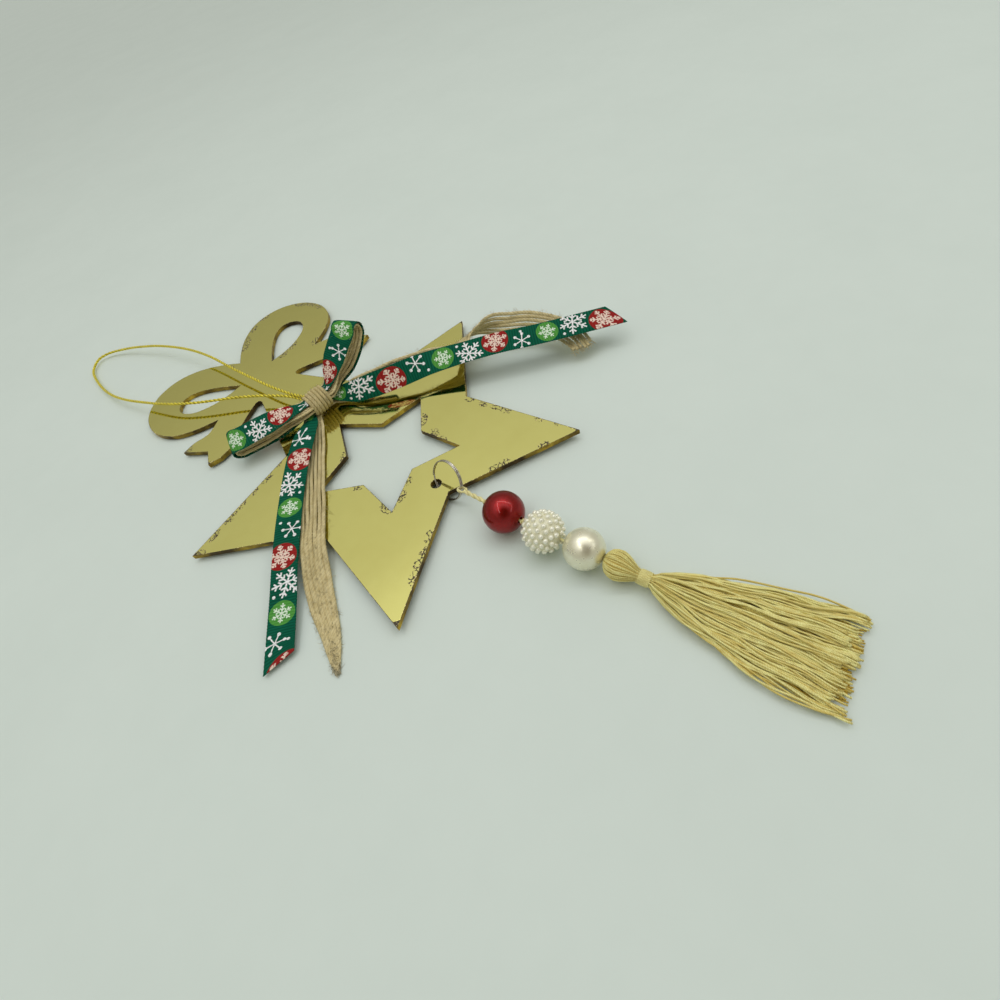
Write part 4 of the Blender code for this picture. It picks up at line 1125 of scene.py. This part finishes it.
def bead_string(pale):
    """Two-ply thread from the ring through the beads, with an eye round the wire and small knots."""
    string = Bundle()
    hang = Vector((0.0, -1.0, 0.0))
    hang = (hang - hang.project(RING_AXIS)).normalized()
    eye_radius = RING_WIRE * 1.15 + 0.7
    eye_centre = RING_CENTRE + hang * (RING_RADIUS + eye_radius - 0.74 - RING_WIRE / 2)
    eye = [eye_centre + eye_radius * (RING_AXIS * sin(turn) - hang * cos(turn))
           for turn in np.linspace(0.0, 2 * pi, 37)]
    string.thread(eye, 0.5, sides=10, up=np.array(hang.cross(RING_AXIS)), plies=2, pitch=STRING_PITCH,
                  depth=0.35)
    foot = eye_centre + hang * eye_radius
    down = (TASSEL_TOP - PEARL_CENTRE).normalized()
    slack = foot.lerp(RED_CENTRE, 0.5) + Vector((0.25, 0, -0.2))
    line, _ = even(spline([foot - hang * 0.3, slack, RED_CENTRE, CLUSTER_CENTRE, PEARL_CENTRE,
                           TASSEL_TOP - down * 0.3], 20), 0.22)
    thick = np.interp(line[:, 1], (RED_CENTRE.y + 5.5, RED_CENTRE.y + 7.5), (0.56, 0.86))
    string.thread(line, thick, sides=12, plies=2, pitch=STRING_PITCH, depth=0.42)
    ahead = (CLUSTER_CENTRE - RED_CENTRE).normalized()
    back = (eye_centre - RED_CENTRE).normalized()
    cluster_end, eye_knot = 7.1, 8.0
    below = (RED_CENTRE + ahead * RED_RADIUS + CLUSTER_CENTRE - ahead * cluster_end) / 2
    turn = np.linspace(0.0, 2 * pi, 73)
    for centre, along, radius in ((below, ahead, 0.62), (RED_CENTRE + back * eye_knot, back, 0.5)):
        radii = radius * (1.0 + 0.34 * np.cos(3 * turn))
        knot = wound(centre, along, radii, 2 * turn, 0.3 * np.sin(3 * turn))
        string.thread(knot, 0.27, sides=8, plies=2, pitch=1.5, depth=0.2, up=np.array(along))
    made = string.piece("two_ply_string", pale)
    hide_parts("bead_string")


def turned_bead(name, centre, radius, axis, material):
    """A bead with a rounded mouth at each end of its bore."""
    bore, lip, steps = 1.1, 0.35, 72
    mouth = asin((bore + lip) / radius)
    top = radius * cos(mouth)
    section = [(radius * sin(a), radius * cos(a)) for a in np.linspace(mouth, pi - mouth, 49)]
    rounded = [(bore + lip - lip * sin(a), top - lip * (1 - cos(a)) * 0.9)
               for a in np.linspace(0.2, pi / 2, 6)]
    wall = [(bore, top * share) for share in np.linspace(-0.85, 0.85, 9)]
    outline = [*section, *[(x, -y) for x, y in reversed(rounded)], *wall, *rounded[::-1], section[0]]
    turns = 2 * pi * np.arange(steps) / steps
    grid = np.array([wound(centre, axis, x, turns, y) for x, y in outline])
    bead = Bundle()
    bead.wrap(grid, np.arange(len(outline)) * 0.4, np.linspace(0.0, 1.0, steps + 1), caps=False)
    return bead.piece(name, material, weld=True)


def red_bead():
    """The bead of red lacquer."""
    axis = (CLUSTER_CENTRE - RED_CENTRE).normalized()
    bead = turned_bead("red_lacquered_bead", RED_CENTRE, RED_RADIUS, axis, red_lacquer())
    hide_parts("red_bead")


def pearl_bead():
    """The smooth ivory bead."""
    axis = (TASSEL_TOP - CLUSTER_CENTRE).normalized()
    lustre = nacre("ivory_nacre", (0.9, 0.87, 0.69), (0.84, 0.8, 0.6), 0.72, 0.26)
    bead = turned_bead("ivory_pearl_bead", PEARL_CENTRE, PEARL_RADIUS, axis, lustre)
    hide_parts("pearl_bead")


SEED_PEARLS = 112
GOLDEN_ANGLE = radians(137.508)
BED_RADIUS = 6.1


def cluster_bead():
    """Tiny pearls set close together over a ball."""
    turn = (PEARL_CENTRE - RED_CENTRE).normalized().to_track_quat("Z", "Y").to_matrix().to_4x4()
    draw = random.Random(11)
    pearls = bmesh.new()
    for number in range(SEED_PEARLS):
        z = 1.0 - (2 * number + 1) / SEED_PEARLS
        if abs(z) > 0.965:
            continue
        wide, angle = sqrt(1.0 - z * z), number * GOLDEN_ANGLE
        spot = turn @ Vector((wide * cos(angle), wide * sin(angle), z))
        size = draw.uniform(0.8, 0.9)
        out = spot + Vector((draw.uniform(-1, 1), draw.uniform(-1, 1), draw.uniform(-1, 1))) * 0.018
        centre = CLUSTER_CENTRE + out.normalized() * (CLUSTER_RADIUS - size)
        bmesh.ops.create_icosphere(pearls, subdivisions=3, radius=size, matrix=Matrix.Translation(centre))
    pearls.transform(TO_ROW_FRAME)
    seed = nacre("seed_pearl", (0.99, 0.98, 0.84), (0.9, 0.88, 0.7), 0.3, 0.17)
    seeds = smooth_piece("seed_pearls", built("seed_pearls", pearls, seed))
    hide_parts("pearl_cluster_bead")
    ball = bmesh.new()
    bmesh.ops.create_uvsphere(ball, u_segments=40, v_segments=24, radius=BED_RADIUS)
    ball.transform(turn)
    for vert in ball.verts:
        vert.co *= 1.0 + 0.012 * sin(vert.co.x * 3.1) * cos(vert.co.y * 2.7)
    ball.transform(TO_ROW_FRAME @ Matrix.Translation(CLUSTER_CENTRE))
    core = nacre("pearl_bed", (0.88, 0.86, 0.66), (0.8, 0.77, 0.55), 0.0, 0.35)
    bed = smooth_piece("pearl_bed", built("pearl_bed", ball, core))


# The tassel's rows: centre from its top, half width, half height
TASSEL_ROWS = [
    ((-0.2, 1.1, 0.15), 1.3, 1.3), ((-0.1, 0.5, 0.05), 2.7, 2.5), ((0.05, -0.4, -0.05), 3.9, 3.5),
    ((0.2, -1.6, -0.2), 4.6, 4.1), ((0.45, -3.4, -0.4), 4.9, 4.3), ((0.7, -5.0, -0.65), 4.4, 3.9),
    ((0.9, -6.4, -0.9), 3.6, 3.3), ((1.1, -7.7, -1.2), 2.8, 2.7), ((1.3, -8.9, -1.4), 2.15, 2.1),
    ((2.0, -13.5, -1.7), 2.0, 2.0), ((2.3, -14.8, -1.9), 3.3, 2.7), ((3.0, -18.8, -2.2), 5.5, 2.8),
    ((4.0, -24.4, -2.5), 7.5, 2.7), ((5.3, -32.4, -2.9), 9.6, 2.4), ((6.7, -40.9, -3.2), 11.1, 2.1),
    ((8.3, -50.4, -3.4), 12.3, 1.9), ((9.9, -59.9, -3.6), 13.3, 1.6), ((10.6, -64.4, -3.7), 13.4, 1.4),
]
NECK_ROW = 9
TASSEL_LINE = np.array([np.add(TASSEL_TOP, row[0]) for row in TASSEL_ROWS])
TASSEL_RUN = run_of(TASSEL_LINE)
TASSEL_LENGTH = TASSEL_RUN[-1]
NECK = TASSEL_RUN[NECK_ROW] / TASSEL_LENGTH
TASSEL_AIM = unit((10.6, -64.4, 0.0))
TASSEL_ACROSS = unit(np.cross(TASSEL_AIM, UP))


def tassel_at(share):
    """Centre, half width and half height of the tassel at shares of its length."""
    marks = share * TASSEL_LENGTH
    sizes = read_at([row[1:] for row in TASSEL_ROWS], TASSEL_RUN, marks)
    return read_at(TASSEL_LINE, TASSEL_RUN, marks), sizes[:, 0], sizes[:, 1]


def tassel_skirt(silk, draw):
    """The loose threads below the neck: clumps that sway together, a flat bed and a few strays."""
    skirt = Bundle()
    count, strays, clumps, bed = 330, 8, 40, 50
    sways = [(draw.uniform(-0.3, 0.3), draw.uniform(-0.1, 0.1), draw.uniform(3.0, 8.0), draw.uniform(0, 6),
              draw.uniform(7, 20), draw.uniform(0, 6)) for _ in range(clumps)]
    for number in range(count + strays):
        low, loose = number < bed, number >= count
        clump = number % clumps
        slide, sweep, sweep_rate, sweep_from, wave_rate, wave_from = sways[clump]
        spoke = 2 * pi * clump * 0.618034
        deep = sqrt((clump + 0.5) / clumps)
        if loose:
            end = 1.0 + draw.uniform(-0.02, 0.03)
        else:
            end = 1.012 - 0.05 * sin(clump * 2.3) ** 2 - draw.uniform(0, 0.025)
        share = np.linspace(NECK - 0.02, end, int((end - NECK) * TASSEL_LENGTH / 0.85))
        centre, wide, high = tassel_at(np.minimum(share, 1.0))
        centre = centre + TASSEL_AIM * (np.maximum(share - 1.0, 0.0) * TASSEL_LENGTH)[:, None]
        t = (share - share[0]) / (share[-1] - share[0])
        drift = slide * t + sweep * np.sin(sweep_rate * t + sweep_from) * t
        place = deep * cos(spoke) + drift + draw.uniform(-0.07, 0.07) + draw.uniform(-0.06, 0.06) * t
        if low:
            place = 1.8 * number / (bed - 1) - 0.9 + drift * 0.2
        place = np.clip(place, -0.995, 0.995)
        level = deep * sin(spoke) * (1.0 - place**2) ** 0.25
        if low:
            level = np.full(len(t), -0.6)
        if loose:
            side = (-1, 1, 1)[number % 3]
            out = 0.84 + 0.16 * draw.random()
            place = side * (out + draw.uniform(0.1, 0.26) * np.sin(pi * t**2) + 0.08 * t)
            level = np.zeros(len(t))
        radius = np.interp(t, (0.0, 0.12, 0.4, 1.0), (0.19, 0.25, 0.29, 0.29)) * draw.uniform(0.75, 1.15)
        wave = 0.4 * np.sin(wave_rate * t + wave_from)
        wave = wave + 0.5 * np.sin(draw.uniform(4, 13) * t + draw.uniform(0, 6))
        beside = place * (wide - radius) + wave * np.minimum(1.0, 3 * t)
        lift = (level + draw.uniform(-0.3, 0.3)) * (high - radius)
        lift = lift + 0.25 * np.sin(draw.uniform(8, 20) * t + draw.uniform(0, 6)) * t
        line = centre + TASSEL_ACROSS * beside[:, None] + UP * lift[:, None]
        line[:, 2] = np.maximum(line[:, 2], radius + 0.05)
        # Painted shade: threads that lie lower are coloured darker, plus a random share; the flat bed is
        # darkest, so the gaps between threads read as shade.
        depth_shade = 1.25
        if not low:
            depth_shade = min(1.2, max(0.0, 0.3 - 0.4 * float(np.mean(level)) + draw.uniform(-0.7, 0.7)))
        skirt.thread(line, radius, sides=5, shade=depth_shade, start=draw.random() * 20, turn=draw.random())
    made = skirt.piece("tassel_skirt", silk)
    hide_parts("tassel")


def tassel_head(silk, draw):
    """The folded threads above the neck, laid close round a core coloured dark as painted shade."""
    head = Bundle()
    threads = 86
    share = np.linspace(0.0, NECK + 0.01, 60)
    centre, wide, high = tassel_at(share)
    radius = np.clip(wide * 0.058, 0.12, 0.26)
    for number in range(threads):
        spoke = 2 * pi * number / threads + 0.1 * np.sin(share * 9 + number) + draw.uniform(-0.05, 0.05)
        reach = 0.94 + 0.05 * (number % 2)
        line = centre + TASSEL_ACROSS * ((wide - radius) * reach * np.cos(spoke))[:, None]
        line[:, 2] += (high - radius) * reach * np.sin(spoke)
        line[:, 2] = np.maximum(line[:, 2], radius + 0.1)
        fine, _, width = even(line, 0.36, radius)
        head.thread(fine, width, plies=2, pitch=HEAD_PITCH, depth=0.3, shade=0.35 * draw.random(),
                    start=draw.random() * 20)
    # Painted shade: a core under the threads, in the darkest tone, showing as shade in the gaps between them.
    angle = np.linspace(0.0, 2 * pi, 33)
    core = centre[:, None, :] + TASSEL_ACROSS * (0.86 * wide[:, None] * np.cos(angle[:-1]))[..., None]
    core = core + UP * (0.86 * high[:, None] * np.sin(angle[:-1]))[..., None]
    head.wrap(core, share * TASSEL_LENGTH, angle / (2 * pi), shade=1.0)
    made = head.piece("tassel_head", silk)


def tassel(silk):
    """The tassel's skirt and head, of one silk."""
    draw = random.Random(3)
    tassel_skirt(silk, draw)
    tassel_head(silk, draw)


def tassel_binding(wound_silk):
    """Thread wound round the tassel's neck."""
    turns = 8
    top, bottom = (Vector(TASSEL_LINE[row]) for row in (NECK_ROW - 1, NECK_ROW))
    axis = (bottom - top).normalized()
    share = np.linspace(0.0, 1.0, turns * 28 + 1)
    lifts = 0.6 + ((bottom - top).length - 1.2) * share
    line = wound(top, axis, 2.12 + 0.08 * np.sin(pi * share), 2 * pi * turns * share, lifts)
    coil = Bundle()
    coil.thread(line, 0.28, sides=7, plies=2, pitch=BINDING_PITCH, depth=0.2, up=np.array(axis))
    made = coil.piece("wound_binding", wound_silk)
    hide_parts("tassel_binding")


def floor():
    """A wide flat floor at height zero."""
    build = bmesh.new()
    bmesh.ops.create_grid(build, x_segments=2, y_segments=2, size=9.0)
    ground = bpy.data.objects.new("floor", built("floor", build, pale_floor()))
    bpy.context.collection.objects.link(ground)


camera()
room_light()
soft_tube("far_tube", (0.07, 0.33), (0.72, -0.55), 0.74)
soft_tube("left_tube", (0.03, 0.31), (-0.52, -0.27), 0.54)
soft_tube("right_tube", (0.74, -0.57), (0.22, -1.15), 0.52)
bpy.context.scene.view_settings.view_transform = "Standard"
floor()

gold_thread = shiny_yarn("gold_lame", (1.0, 0.85, 0.06), (0.07, 0.045, 0.005), CORD_PITCH, 0.3, 0.35,
                         groove_shade=1.3, depth=0.12)
hanging_cord(gold_thread)
mirror_sheet()
green_ribbon()
jute_ribbon()
split_ring()
bead_string(shiny_yarn("pale_thread", (0.97, 0.91, 0.46), (0.5, 0.4, 0.12), STRING_PITCH, 0.5, 0.0))
red_bead()
cluster_bead()
pearl_bead()
tassel(shiny_yarn("tassel_silk", (1.0, 0.975, 0.43), (0.62, 0.4, 0.02), SILK_PITCH, 0.3, 0.1, groove_shade=0.55))
tassel_binding(shiny_yarn("binding_thread", (0.97, 0.9, 0.4), (0.55, 0.42, 0.08), BINDING_PITCH, 0.42, 0.0))
